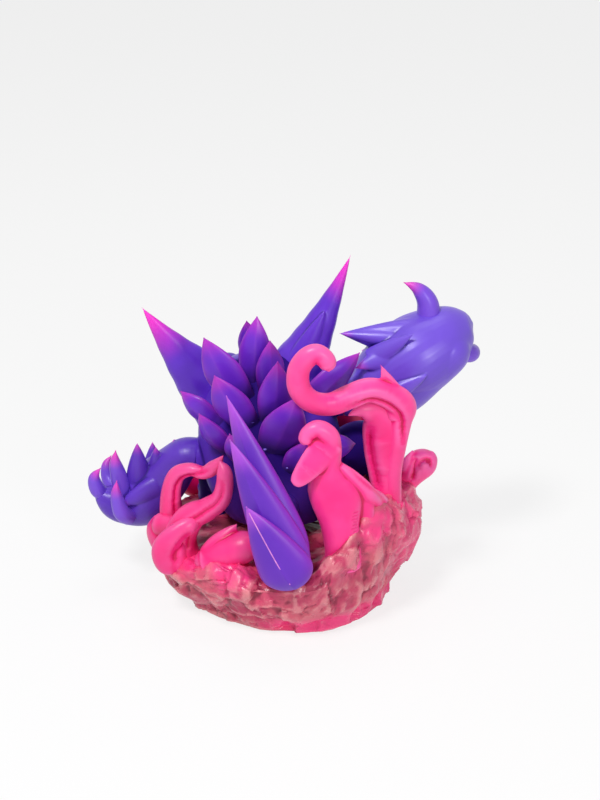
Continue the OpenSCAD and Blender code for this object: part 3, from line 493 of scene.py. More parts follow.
def swept(name, strands, finish, sides=36, step=1.0):
    guide = bpy.data.meshes.new(name + "_strands")
    rows = np.concatenate([s["rows"] for s in strands])
    edges, start = [], 0
    for s in strands:
        count = len(s["rows"])
        edges += [(start + i, start + i + 1) for i in range(count - 1)]
        start += count
    guide.from_pydata((rows[:, :3] * MM).tolist(), edges, [])
    store(guide, "half_w", rows[:, 3] * MM)
    store(guide, "half_t", rows[:, 4] * MM)
    store(guide, "tip", np.concatenate([s["tip"] for s in strands]))
    for form in ("edge", "taper", "groove", "ridge"):
        store(guide, form, np.concatenate([np.full(len(s["rows"]), s[form]) for s in strands]))
    store(guide, "face", np.concatenate([np.tile(s["face"], (len(s["rows"]), 1)) for s in strands]),
          "FLOAT_VECTOR")
    mesh = run_tree(name, guide, SWEEP, Sides=sides, Step=step * MM, Finish=finish)
    for helper in ("centre", "outward", "sideways", "ring", "face", "half_w", "half_t", "edge", "taper",
                   "groove", "ridge"):
        if helper in mesh.attributes:
            mesh.attributes.remove(mesh.attributes[helper])
    face_outwards(mesh)
    return mesh


# %% [markdown]
# ## Joining forms, and finding hollows
# An arm with its spikes is one moulded piece, so its strands have to flow into each other. A voxel Remesh
# melts them together and a Smooth rounds the joins. The painted attributes are then carried over from the
# nearest point of the strands. `relief` compares each point with its smoothed surroundings.

# %% Melting strands together
def melted(name, strands, finish, grain_mm, rounds, sides=36, step=1.0):
    source = swept(name, strands, finish, sides, step)
    tree = tree_of(places_of(source))
    painted = {mark: values_of(source.attributes[mark].data, "value", 1, np.float32)
               for mark in ("tip", "rim", "keel")}
    thing = bpy.data.objects.new(name + "_melt", source)
    scene.collection.objects.link(thing)
    melt = thing.modifiers.new("melt", "REMESH")
    melt.mode = "VOXEL"
    melt.voxel_size = grain_mm * MM
    melt.use_smooth_shade = True
    soften = thing.modifiers.new("soften", "SMOOTH")
    soften.factor = 0.5
    soften.iterations = rounds
    mesh = made_mesh(thing)
    mesh.name = name
    nearest = np.array([tree.find(place)[1] for place in places_of(mesh)])
    for mark, values in painted.items():
        if mark in mesh.attributes:
            mesh.attributes.remove(mesh.attributes[mark])
        store(mesh, mark, values[nearest])
    mesh.materials.clear()
    mesh.materials.append(finish)
    return mesh


def add_relief(mesh, rounds, depth):
    """How far each point stands above or below its smoothed surroundings, as a share of depth in mm."""
    a, b = values_of(mesh.edges, "vertices", 2, np.int32).T
    count = len(mesh.vertices)
    near = np.bincount(a, minlength=count) + np.bincount(b, minlength=count)
    sharp = places_of(mesh)
    soft = sharp.copy()
    for _ in range(rounds):
        soft = np.stack([(np.bincount(a, soft[b, k], count) + np.bincount(b, soft[a, k], count)) / near
                         for k in range(3)], axis=1)
    height = np.einsum("ij,ij->i", sharp - soft, values_of(mesh.vertices, "normal", 3))
    store(mesh, "relief", np.clip(height / (depth * MM), -1, 1))


def seen_line(line, *spots):
    """Places on the broad outer face of a strand, by shares along it and across it, -1 to 1."""
    rows = line["rows"]
    share = shares_along(rows)
    places = []
    for along, across in spots:
        row, ahead, behind = (np.array([np.interp(u, share, rows[:, k]) for k in range(5)])
                              for u in (along, min(along + 0.02, 1), max(along - 0.02, 0)))
        tangent = unit(ahead[:3] - behind[:3])
        out = unit(line["face"] - (line["face"] @ tangent) * tangent)
        side = np.cross(tangent, out)
        places.append(row[:3] + side * across * row[3] + out * row[4] * math.sqrt(max(1 - across ** 2, 0)))
    return places


def engrave(mesh, lines):
    """Press soft grooves into a mesh, or raise ridges: each line has places, a width and a depth in mm."""
    skin = tree_of(places_of(mesh) / MM)
    share = np.linspace(0, 1, 24)[:, None]
    for places, width, depth in lines:
        sharp = places_of(mesh) / MM
        normal = values_of(mesh.vertices, "normal", 3)
        places = np.asarray(places, float)
        dense = np.concatenate([a + (b - a) * share for a, b in zip(places, places[1:])])
        padded = np.pad(dense, ((12, 12), (0, 0)), "edge")
        dense = np.stack([np.convolve(padded[:, k], np.ones(25) / 25, "valid") for k in range(3)], axis=1)
        dense = np.array([skin.find(p)[0] for p in dense])
        place_in_line = np.arange(len(dense))
        fade = np.minimum(1, np.minimum(place_in_line, len(dense) - 1 - place_in_line) / (0.2 * len(dense)))
        low, high = dense.min(0) - 3 * width, dense.max(0) + 3 * width
        near = np.flatnonzero(((sharp > low) & (sharp < high)).all(1))
        gap = np.linalg.norm(sharp[near][:, None] - dense[None], axis=2)
        push = depth * fade[gap.argmin(1)] * np.exp(-(gap.min(1) / width) ** 2)
        sharp[near] -= normal[near] * push[:, None]
        mesh.vertices.foreach_set("co", (sharp * MM).ravel())
        mesh.update()


# %% Making a mesh a piece that rides on its body
# how each kind of piece finds its hollows: rounds of smoothing, and the depth in mm of a full hollow
RELIEF = {"rock": (20, 0.8), "body": (16, 0.5), "arm": (18, 0.5), "stalk": (12, 0.4), "spine": (14, 0.3),
          "horn": (10, 0.3), "claw": (12, 0.3), "toe": (10, 0.3), "flame": (28, 0.4)}
total = 0


def hand_in(mesh, nodes, body="figure", relief=None):
    """Make the mesh a piece that rides on its body and stands in for its solids."""
    global total
    if relief:
        add_relief(mesh, *RELIEF[relief])
    thing = bpy.data.objects.new(mesh.name, mesh)
    scene.collection.objects.link(thing)
    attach(thing, body)
    if nodes:
        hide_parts(*nodes)
    mesh.calc_loop_triangles()
    total += len(mesh.loop_triangles)
    print(f"{mesh.name}: {len(mesh.loop_triangles)} triangles")


# %% [markdown]
# ## Sizes
# These repeat the sizes of the solids, in mm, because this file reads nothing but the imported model.

# %% Sizes and directions
BACK = np.array([0.0, -1, 0])
FORWARD = np.array([0.0, 1, 0])
UP = np.array([0.0, 0, 1])
base_h, foot_r, rim_r, right_rise, rock_rough, felt_t = 40, 57, 71, 22, 0.06, 1
left_swell, slope_from, slope_w = 0.08, 20, 22
torso_h, torso_w, torso_d, lean, hip_shift, hunch, belly_gap = 88, 78, 62, 16, 6, 8, 6
thigh_d, foot_l = 30, 28
head_l, head_w, head_h, head_drop, eye_r = 66, 48, 40, 26, 5
horn_l, left_horn_w, right_horn_w, horn_t, horn_sag, horn_rings = 86, 54, 38, 34, 5, 7
spine_l, spine_w, spine_t, spine_root, spine_curl = 41, 22, 7, 5, 0.16
right_arm_l, right_arm_d, left_arm_l, left_arm_d = 88, 46, 70, 31
seat_r, seat_gap, seat_l = 11, 0.4, 24
tail_l, tail_w, tail_t = 105, 28, 14
tall_h, tall_reach, tall_w = 100, 56, 22
front_h, front_reach, front_w = 72, 19, 30
loop_h, loop_reach, loop_w = 60, 42, 15
face_flame_h, face_reach, face_flame_w = 60, 24, 20
lobe_d, mound_l, bud_l = 18, 46, 20


def ramp(values, zero_at, one_at):
    """0 up to one value, 1 past another, and straight between."""
    return np.clip((values - zero_at) / (one_at - zero_at), 0, 1)


def turn(degrees):
    """The cosine and sine of an angle."""
    return math.cos(math.radians(degrees)), math.sin(math.radians(degrees))


PETAL_SHARES = (-1, -0.5, 0, 0.08, 0.16, 0.26, 0.36, 0.46, 0.56, 0.66, 0.76, 0.85, 0.92, 0.97, 1)
petal_widest = 0.4


def petal(skin, way, out, length, sunk, w, t):
    """Rows of a plump petal: a sunk root, widest before its middle, curling in towards its tip."""
    rows = []
    for v in PETAL_SHARES:
        if v < petal_widest:
            size = 0.8 + 0.2 * math.sin(math.pi / 2 * max(v, 0) / petal_widest)
        else:
            size = 1 - ((v - petal_widest) / (1 - petal_widest)) ** 1.7
        place = skin + way * (sunk * v if v < 0 else length * v) - out * length * spine_curl * max(v, 0) ** 2
        rows.append([*place, w / 2 * size, t / 2 * size])
    return rows


def spike(start, end, w, t, face, full=1.5, **form):
    """A pointed leaf from its root to its point; the higher full is, the longer it stays broad."""
    share = np.linspace(0, 1, 11)[:, None]
    size = 1 - share ** full
    return strand(np.hstack([start + (end - start) * share, size * w / 2, size * t / 2]), face, **form)


# %% [markdown]
# ## Rock
# The base is a cast crag. Its solid's own rule gives the smooth lump, and facets break it up: each small
# cell of stone is tilted its own way, at three sizes, as split rock is. Fine noise roughens the faces. The
# stone swells where flames grow out of it, and is drawn back where the left arm swings past.

# %% The rock's surface
def rise(x):
    t = ramp(x, slope_from, slope_from + slope_w)
    return right_rise * t * t * (3 - 2 * t)


def stand(share, angle):
    """A place on the rock's top, by its share of the rim's radius and its angle round, in degrees."""
    c, s = turn(angle)
    x = rim_r * share * c
    return np.array([x, rim_r * share * s, base_h + rise(x)])


tall_at, inner_at, front_at = stand(0.83, -22), stand(0.75, -28), stand(0.86, -63)
loop_upper_at, loop_lower_at = stand(0.94, 203), stand(0.96, 214)
bud_at, mound_at = stand(0.92, 3), stand(0.89, 233)
face_right_at, face_left_at = stand(0.81, 60), stand(0.86, 122)
ROCK_SWELLS = [(front_at + BACK * 7, [1, -6, 13], 12), (stand(0.86, -46), [1, -1, 12], 17),
               (stand(0.9, -15), [0, 0, 9], 18), (stand(1, -78), [0, -2, 5], 10),
               (mound_at + [4, -7, 0], [0, -3, 6], 13)]

rock_sides = 54
rock_levels = np.array([
    [0, foot_r], [0.16, foot_r * 1.02], [0.36, (foot_r + rim_r) / 2], [0.6, rim_r * 0.97], [0.8, rim_r],
    [0.95, rim_r * 0.94], [1, rim_r * 0.83], [1, rim_r * 0.55], [1, rim_r * 0.28]])
bulge_of_level = [0, 0.8, 1.5, 1.5, 1.5, 1, 1, 0, 0]


def wave(degrees):
    """A wave with straight flanks, so that flat facets meet in sharp edges."""
    return np.arcsin(np.sin(np.radians(degrees))) * 2 / np.pi


def rock_level(k, columns):
    """The ring of points on one level: the solid's own corners, with straight lines between them."""
    a = np.arange(rock_sides + 1) * 360 / rock_sides
    crag = 0.5 * wave(4 * a + 40 * k) + 0.3 * wave(9 * a - 65 * k) + 0.2 * wave(13 * a + 110 * k)
    bulge = left_swell * bulge_of_level[k] * np.maximum(np.cos(np.radians(a - 208)), 0) ** 8
    r = rock_levels[k][1] * (1 + bulge + rock_rough * (0.5 if k > 6 else 1) * crag)
    x, y, h = r * np.cos(np.radians(a)), r * np.sin(np.radians(a)), rock_levels[k][0]
    lump_h = 0 if k == 0 else base_h * (0.01 if k > 5 else 0.05)
    lump = lump_h * (wave(5 * a + 70 * k) + 0.6 * wave(9 * a - 50 * k))
    ring = np.stack([x, y, felt_t + (base_h - felt_t) * h + rise(x) * h * h + lump], axis=1)
    at = np.arange(columns) * 360 / columns
    return np.stack([np.interp(at, a, ring[:, i]) for i in range(3)], axis=1)


def rock_grid(columns, rows):
    """Rings from the foot to the top, on a curve through the solid's levels."""
    level = [rock_level(k, columns) for k in range(len(rock_levels))]
    rings = []
    for v in np.concatenate([np.linspace(0, 6, rows), np.linspace(6, 8, rows // 3)[1:]]):
        i = min(int(v), 7)
        t = v - i
        a, b, c, d = level[max(i - 1, 0)], level[i], level[i + 1], level[min(i + 2, 8)]
        bend = 0.5 * (2 * b + (c - a) * t + (2 * a - 5 * b + 4 * c - d) * t ** 2
                      + (3 * b - a - 3 * c + d) * t ** 3)
        rings.append(bend * 0.3 + (b * (1 - t) + c * t) * 0.7)
    return np.array(rings)


def facets(points, size, seed, soft):
    """Cells of stone, each tilted its own way: the height of each point, and how near a crack it lies."""
    chance = np.random.default_rng(seed)
    low, high = points.min(0) - size, points.max(0) + size
    count = int(np.prod((high - low) / size) * 1.1)
    seeds = low + chance.random((count, 3)) * (high - low)
    tilt = chance.normal(size=(count, 3))
    tilt /= np.linalg.norm(tilt, axis=1)[:, None]
    tree = tree_of(seeds)
    height, crack = np.empty(len(points)), np.empty(len(points))
    for i, place in enumerate(points):
        (_, one, near), (_, two, far) = tree.find_n(place, 2)
        first, second = (place - seeds[one]) @ tilt[one], (place - seeds[two]) @ tilt[two]
        apart = min((far - near) / (soft * size), 1)
        weight = 0.5 + 0.5 * apart * apart * (3 - 2 * apart)
        height[i] = first * weight + second * (1 - weight)
        crack[i] = 1 - apart
    return height, crack


BIG_CELL, SMALL_CELL, FINE_CELL, LAYER_H, SPRAY_REACH = 17, 7.5, 3.4, 11, 13


def rock_mesh():
    columns = 486
    rings = rock_grid(columns, 126)
    count = len(rings)
    points = rings.reshape(-1, 3)
    around, upward = np.roll(rings, -1, 1) - np.roll(rings, 1, 1), np.gradient(rings, axis=0)
    normal = np.cross(around, upward).reshape(-1, 3)
    normal /= np.maximum(np.linalg.norm(normal, axis=1), 1e-9)[:, None]
    level = np.repeat(np.linspace(0, 1, count), columns)
    top = ramp(level, 0.68, 0.76)
    foot = ramp(level, 0, 0.03)
    big, _ = facets(points * np.array([1, 1, 0.8]), BIG_CELL, 3, 0.3)
    small, small_crack = facets(points * np.array([1, 1, 0.5]), SMALL_CELL, 4, 0.35)
    fine, _ = facets(points, FINE_CELL, 5, 0.4)
    drift = np.array([noise.fractal(Vector(p) * 0.06, 0.9, 2.0, 3) for p in points])
    rough = np.array([noise.fractal(Vector(p) * 0.3, 0.9, 2.1, 3) for p in points])
    ledge = wave(360 * (points[:, 2] + 6 * drift) / LAYER_H) * 0.5
    move = 0.34 * big + 0.26 * small + 0.06 * fine + 1.3 * ledge + 0.15 * rough - 0.2 * small_crack
    move = np.clip(move, -3, 2) * (1 - 0.7 * top) * foot
    by_left_arm = ramp(points[:, 0], -44, -52) * ramp(points[:, 1], -24, -16)
    move -= by_left_arm * np.maximum(move + 0.6, 0)
    points = points + normal * move[:, None]
    for place, shift, reach in ROCK_SWELLS:
        across = np.linalg.norm((points - place)[:, :2], axis=1)
        share = np.exp(-(across / reach) ** 2) * ramp(points[:, 2], 0, base_h) ** 2
        points += share[:, None] * np.array(shift)
    points[:, 2] = np.maximum(points[:, 2], felt_t)
    points = np.vstack([points, [[0, 0, felt_t], [0, 0, points[-columns:, 2].mean()]]])
    faces = []
    for j in range(count - 1):
        for i in range(columns):
            k = (i + 1) % columns
            faces.append((j * columns + i, j * columns + k, (j + 1) * columns + k, (j + 1) * columns + i))
    under, crown = count * columns, count * columns + 1
    for i in range(columns):
        k = (i + 1) % columns
        faces.append((k, i, under))
        faces.append(((count - 1) * columns + i, (count - 1) * columns + k, crown))
    mesh = bpy.data.meshes.new("rock")
    mesh.from_pydata((points * MM).tolist(), [], faces)
    mesh.shade_smooth()
    mesh.materials.append(rock_paint)
    roots = [tall_at, inner_at, front_at, front_at + [14, 5, 14], loop_upper_at, loop_lower_at, bud_at,
             mound_at, stand(0.95, 222), stand(0.97, 243), stand(0.95, -48)]
    near = np.min([np.linalg.norm(points - root, axis=1) for root in roots], axis=0)
    by_flames = np.exp(-(near / SPRAY_REACH) ** 2)
    low_right = np.exp(-((points[:, 2] - 5) / 8) ** 2) * np.maximum(ramp(points[:, 0], -30, 0), 0.25)
    right_edge = ramp(points[:, 0], 30, 66)
    store(mesh, "spray", np.maximum.reduce([by_flames, 0.9 * low_right, 0.62 * right_edge]))
    face_outwards(mesh)
    return mesh


hand_in(rock_mesh(), ["rock_base"], relief="rock")

# %% [markdown]
# ## Torso
# The body is a bent barrel. Its rule gives every section from the height up the body, and the flat
# shoulder seats grow out of it. Chest and belly folds on the front are the maker's own plain design.

# %% The torso's rule
def swell(u):
    return math.sqrt(max(1 - (abs(u - 0.42) / 0.6) ** 2.2, 0))


def torso_at(u):
    return np.array([-hip_shift - lean * u * math.sqrt(abs(u)), hunch * u * u,
                     base_h + belly_gap + torso_h * u, torso_w / 2 * swell(u), torso_d / 2 * swell(u)])


def torso_frame(u):
    axis = unit(torso_at(u + 0.01)[:3] - torso_at(u - 0.01)[:3])
    out = unit(BACK - (BACK @ axis) * axis)
    return axis, out, np.cross(axis, out)


def torso_point(u, degrees):
    """A place on the skin, and the way out of it, by height share and angle round from the back."""
    row, (_, out, side) = torso_at(u), torso_frame(u)
    c, s = turn(degrees)
    return row[:3] + out * row[4] * c + side * row[3] * s, unit(out * c / row[4] + side * s / row[3])


def seat(u, side, stand_off):
    row = torso_at(u)
    return np.array([row[0] + side * (row[3] + stand_off), row[1], row[2]])


right_seat, left_seat = seat(0.76, 1, 13), seat(0.36, -1, 3)
torso_strands = [strand([torso_at(u) for u in np.linspace(0.0, 1.0, 27)], BACK, NO_TIP)]
for place, side in ((right_seat, 1), (left_seat, -1)):
    inner = place - np.array([side * seat_l, 0, 0])
    seat_rows = [[*(inner + (place - inner) * u), seat_r, seat_r] for u in (0, 0.5, 1)]
    torso_strands.append(strand(seat_rows, BACK, NO_TIP))
for u in (0.2, 0.34, 0.48, 0.62):
    fold = []
    for degrees in (138, 155, 180, 205, 222):
        skin, out = torso_point(u - 0.05 * math.cos(math.radians(2 * degrees)), degrees)
        fold.append([*(skin - out * 2.0), 6.5, 3.6])
    torso_strands.append(strand(fold, FORWARD, NO_TIP))
torso_mesh = melted("torso", torso_strands, shaded_paint, 0.8, 5, sides=64, step=1.5)
x, y, z = (places_of(torso_mesh) / MM).T
on_back = ramp(y, 16, 6) * ramp(z, 66, 82)
between_seats = ramp(np.abs(x + 14), 28, 18)
behind_flames = ramp(x, 4, 14) * ramp(z, 112, 102)
store(torso_mesh, "shade", np.maximum(0.85 * on_back * between_seats, 0.7 * behind_flames))
hand_in(torso_mesh, ["torso"], relief="body")

# %% [markdown]
# ## Back spines
# Twelve plump pointed leaves overlap like an artichoke. Each is glued into its own pocket, and beads of
# glue show at some of the roots. The leaf has a soft keel, a redder rim and a pale pink point.

# %% The spines
SPINES = [
    ("crown", 0.92, 4, 0.91, 0.78, 18, 24), ("nape_left", 0.84, -16, 1.07, 0.95, -8, 30),
    ("nape_right", 0.85, 18, 0.77, 0.7, 10, 32), ("shoulder_left", 0.73, -46, 0.61, 0.72, -32, 28),
    ("shoulder_right", 0.72, 50, 1, 0.78, 57, 36), ("upper_left", 0.7, -13, 1.02, 0.9, -7, 38),
    ("upper_right", 0.7, 12, 1.05, 0.84, 13, 38), ("middle_left", 0.57, -34, 0.7, 0.66, -9, 34),
    ("middle_right", 0.54, 7, 1.16, 1.05, 28, 42), ("side_right", 0.44, 52, 0.44, 0.6, 98, 36),
    ("low_left", 0.48, -20, 0.66, 0.62, 3, 40), ("low_right", 0.41, 18, 0.58, 0.66, 26, 42)]


def spine_strand(u, degrees, length, width, fan, lift):
    skin, out = torso_point(u, degrees)
    axis = torso_frame(u)[0]
    side = unit(np.cross(axis, out))
    (fan_c, fan_s), (lift_c, lift_s) = turn(fan), turn(lift)
    way = unit(lift_c * (fan_c * axis + fan_s * side) + lift_s * out)
    sunk = spine_root / lift_s
    rows = petal(skin, way, out, spine_l * length, sunk, spine_w * width, spine_t)
    return strand(rows, out, (-0.15, 1), edge=1.1, taper=1.1, ridge=0.12)


for name, *form in SPINES:
    spine_mesh = swept("spine_" + name, [spine_strand(*form)], spine_paint, 44, 0.7)
    along = values_of(spine_mesh.attributes["tip"].data, "value", 1, np.float32)
    store(spine_mesh, "shade", 0.9 * ramp(along, 0.34, 0.04))
    hand_in(spine_mesh, ["spine_" + name], relief="spine")

# %% [markdown]
# Beads repeat, so Geometry Nodes scatter them: a short line across each root is cut into points, and a
# small sphere of its own size stands on each. The seed is fixed, so they never change.

# %% Beads of glue at the spine roots
def bead_tree():
    tree, given, keys = new_group("beads_along_lines", Beads="Int", Radius="Float", Seed="Int",
                                  Finish="Material")
    at = Value(tree)
    line = at.node("GeometryNodeMeshToCurve", {}, {0: given["Geometry"]})
    line = at.node("GeometryNodeResampleCurve", {"mode": "COUNT"}, {0: line, 2: given["Beads"]})
    bead = at.node("GeometryNodeMeshIcoSphere", {}, {0: given["Radius"], 1: 3})
    size = at.node("FunctionNodeRandomValue", {"data_type": "FLOAT_VECTOR"},
                   {0: (0.6, 0.6, 0.45), 1: (1.25, 1.1, 0.8), 8: given["Seed"]})
    beads = at.node("GeometryNodeInstanceOnPoints", {}, {0: line, 2: bead, 6: size})
    beads = at.node("GeometryNodeRealizeInstances", {}, {0: beads})
    beads = at.node("GeometryNodeSetShadeSmooth", {}, {0: beads})
    beads = at.node("GeometryNodeSetMaterial", {}, {0: beads, 2: given["Finish"]})
    at.node("NodeGroupOutput", {}, {0: beads})
    return tree, keys


bead_lines, bead_edges = [], []
for name, u, degrees, _, width, *_ in SPINES:
    if name in ("upper_left", "middle_right", "middle_left", "low_right"):
        skin, out = torso_point(u, degrees)
        side = unit(np.cross(torso_frame(u)[0], out))
        for end in (-1, 1):
            bead_lines.append((skin + side * end * spine_w * width * 0.22 + out * 1.6) * MM)
        bead_edges.append((len(bead_lines) - 2, len(bead_lines) - 1))
bead_guide = bpy.data.meshes.new("glue_lines")
bead_guide.from_pydata([p.tolist() for p in bead_lines], bead_edges, [])
bead_mesh = run_tree("glue_beads", bead_guide, bead_tree(), Beads=3, Radius=1.0 * MM, Seed=7,
                     Finish=glue_finish)
hand_in(bead_mesh, [])

# %% [markdown]
# ## Horns and head
# Two long horns fade from violet to hot pink, with faint growth rings. The head faces away from the
# camera: a plain animal head with brows, cheeks, nostrils and a jaw with small fangs.

# %% Horns and crest
neck = torso_at(1)[:3]
ring_depth = 0.014


def horn_strand(root, way, w, tip):
    rows = []
    for u in np.linspace(0, 1, 12 * horn_rings + 1):
        ring = 1 + ring_depth * math.sin(2 * math.pi * horn_rings * u) * min(1, 4 - 4 * u)
        size = (1 - u ** 1.04) * ring
        place = root + way * horn_l * u - UP * horn_sag * 4 * u * (1 - u)
        rows.append([*place, w / 2 * size, horn_t / 2 * size])
    return strand(rows, BACK, tip)


left_horn_at = neck + [-torso_w * 0.025, torso_d * 0.08, -torso_h * 0.41]
right_horn_at = neck + [torso_w * 0.22, torso_d * 0.06, -torso_h * 0.25]
left_way, right_way = unit([-55, -8, 66]), unit([34, 3, 71])
barb_from = right_horn_at + right_way * horn_l * 0.2 + BACK * horn_t * 0.26
barb_to = right_horn_at + right_way * horn_l * 0.64 + BACK * horn_t * 0.19
horn_strands = {
    "left_horn": [horn_strand(left_horn_at, left_way, left_horn_w, (-0.05, 1))],
    "right_horn": [
        horn_strand(right_horn_at, right_way, right_horn_w, (-0.3, 1)),
        spike(barb_from, barb_to, right_horn_w * 0.38, horn_t * 0.24, BACK, 1.8, tip=(-0.1, 0.62))]}
for name, lines in horn_strands.items():
    hand_in(melted(name, lines, horn_paint, 0.5, 8, 56, 0.8), [name], relief="horn")


def head_at(p, drop=0.0, bend=0.35):
    """A row of the head or jaw, from shares of its length, half width and half height."""
    z = neck[2] - head_drop - head_h * (drop + bend * p[0] ** 2)
    return np.array([neck[0] + head_w * 0.08 * p[0], neck[1] + head_l * (0.03 + p[0]), z,
                     head_w / 2 * p[1], head_h / 2 * p[2]])


crest_root = head_at([0.26, 1, 1])[:3] + UP * head_h * 0.46
crest = petal(crest_root, unit([-2, -3, 20]), FORWARD, spine_l * 0.62, spine_root, spine_w * 0.6, spine_t)
crest_mesh = swept("head_crest", [strand(crest, BACK, (-0.15, 1), edge=1.1, taper=1.1, ridge=0.12)],
                   spine_paint, 40, 0.7)
hand_in(crest_mesh, ["head_crest"], relief="spine")

# %% Head, jaw, fangs and eyes
head_shape = [[0, 0, 0], [0.05, 0.55, 0.5], [0.2, 0.95, 0.92], [0.36, 1, 1], [0.56, 0.84, 0.8],
              [0.76, 0.6, 0.6], [0.91, 0.5, 0.48], [0.98, 0.28, 0.26], [1, 0, 0]]


def on_head(x, along, z):
    """A place on the head, by shares of its half width, length and half height."""
    row = head_at([along, 1, 1])
    return row[:3] + np.array([x * head_w / 2, 0, z * head_h / 2])


def bump_line(*points):
    """A round ridge through places with a radius."""
    return strand([[*place, r, r] for place, r in points], [0.3, 0.5, 1], NO_TIP)


# the brow, the cheek and the nostril of one side: shares across, along and up, and a radius in mm
HEAD_RIDGES = [
    [(0.3, 0.66, 0.52, 2), (0.58, 0.58, 0.66, 4.2), (0.84, 0.46, 0.6, 4.4), (0.98, 0.32, 0.36, 2)],
    [(0.5, 0.72, -0.18, 3), (0.72, 0.56, -0.16, 5.5), (0.9, 0.38, -0.02, 5), (0.9, 0.24, 0.2, 2)],
    [(0.2, 0.99, 0.18, 2), (0.3, 0.95, 0.32, 3.4), (0.22, 0.86, 0.42, 2.4)]]
head_strands = [strand([head_at(p) for p in head_shape], UP, NO_TIP)]
for side in (-1, 1):
    for ridge in HEAD_RIDGES:
        head_strands.append(bump_line(*((on_head(side * x, along, z), r) for x, along, z, r in ridge)))
    head_strands.append(spike(on_head(side * 0.9, 0.26, 0.2), on_head(side * 1.5, 0.1, 0.75), 13, 7, FORWARD,
                              tip=(0, 1)))
head_mesh = melted("head", head_strands, body_paint, 0.6, 5, sides=48)
hand_in(head_mesh, ["head"], relief="body")

jaw_shape = [[0.34, 0, 0], [0.38, 0.5, 0.3], [0.5, 0.72, 0.4], [0.7, 0.54, 0.34], [0.88, 0.4, 0.26],
             [0.95, 0, 0]]


def jaw_at(p):
    return head_at(p, 0.55, 0.22)


jaw_mesh = melted("jaw", [strand([jaw_at(p) for p in jaw_shape], UP, NO_TIP)], body_paint, 0.6, 4)
hand_in(jaw_mesh, ["jaw"], relief="body")
fangs = []
for side in (-1, 1):
    for along, reach in ((0.84, 7), (0.72, 5)):
        row = jaw_at([along, 0.36, 0])
        foot = row[:3] + np.array([side * row[3] * 1.05, 0, 2])
        fangs.append(spike(foot, foot + [side * 1.2, 1, reach], 4, 4, FORWARD, full=1.4))
hand_in(swept("fangs", fangs, fang_finish, 16, 0.6), [])


def eye_mesh(side):
    place = np.array([neck[0] + head_w * (0.04 + side * 0.37), neck[1] + head_l * 0.55,
                      neck[2] - head_drop + head_h * 0.2])
    look = unit([side * 0.75, 0.65, 0.12])
    name = "eye_left" if side < 0 else "eye_right"
    finish = eye_finish("amber_" + name, tuple(place * MM), tuple(look))
    ball = []
    for k in np.sin(np.linspace(-1, 1, 33) * math.pi / 2):
        r = eye_r * math.sqrt(max(1 - k * k, 0))
        ball.append([*(place + look * eye_r * k), r, r])
    return swept(name, [strand(ball, UP)], finish, 40, 0.35)


for side in (-1, 1):
    hand_in(eye_mesh(side), ["eyes"])

# %% [markdown]
# ## Legs
# The flames and the tail hide most of the legs. Each is a bent limb melted into a broad paw with three
# toes, and three claws are set into it.

# %% Legs and toe claws
def hip(side):
    return np.array([torso_w * (side * 0.3 - 0.04), torso_d * 0.1, base_h + belly_gap + torso_h * 0.24])


def heel(side):
    x = torso_w * (-0.5 if side < 0 else 0.64)
    return np.array([x, torso_d * 0.22, base_h + rise(x)])


paw_shape = [[0.04, -0.29, 0.14, 0, 0], [0.04, -0.21, 0.14, 0.21, 0.18], [0.07, 0.3, 0.11, 0.36, 0.29],
             [0.11, 0.62, 0.04, 0.39, 0.25], [0.11, 0.76, 0, 0.29, 0.18], [0.11, 0.8, 0, 0, 0]]
for side, name in ((-1, "left"), (1, "right")):
    a, b, r = hip(side), heel(side), thigh_d / 2
    knee = (a + b) / 2 + np.array([side * 0.3, 0.35, 0.35 if side < 0 else 0.86]) * r
    ankle, foot = b + np.array([side * 0.14, 0.2, 0.57]) * r, b + np.array([side * 0.14, 0.07, -0.43]) * r
    limb = (a, 0.9), (knee, 1), (ankle, 0.66), (foot, 0.66)
    limb_rows = [[*place, r * size, r * size] for place, size in limb]
    paw_rows = [[*(b + np.array([side * p[0], p[1], p[2]]) * foot_l), p[3] * foot_l, p[4] * foot_l]
                for p in paw_shape]
    leg_strands = [strand(limb_rows, FORWARD, NO_TIP), strand(paw_rows, UP, NO_TIP)]
    claws = []
    for k in (-1, 0, 1):
        root = b + np.array([side * 0.11 + k * 0.23, 0.6, 0.18]) * foot_l
        toe = (root + [0, -7, 1.5], 3), (root + [0, -2, 1], 4.6), (root + [0, 3, -1], 3.6)
        leg_strands.append(bump_line(*toe))
        point = root + np.array([k * 0.09, 0.38, -0.04]) * foot_l
        claws.append(spike(root, point, foot_l * 0.21, foot_l * 0.21, UP))
    leg_mesh = melted(name + "_leg", leg_strands, shaded_paint, 0.7, 5)
    store(leg_mesh, "shade", 0.9 * ramp(places_of(leg_mesh)[:, 1] / MM, 22, 8))
    hand_in(leg_mesh, [name + "_leg"], relief="body")
    hand_in(swept(name + "_toe_claws", claws, claw_paint, 24, 0.6), [name + "_toe_claws"],
            relief="toe")

# %% [markdown]
# ## Tail
# Three scales lie one over the other, each with a raised keel and a bright rim, on a short stalk. A fine
# pale line, a painted highlight, runs along the keel of the lowest.

# %% Tail scales and stalk
tail_butt = np.array([tail_w * 0.14, -rim_r + tail_t * 0.2, base_h + tail_t * 0.07])
tail_out = unit([0, -1, 0.1])
tail_way = unit([-36, 15, 98])


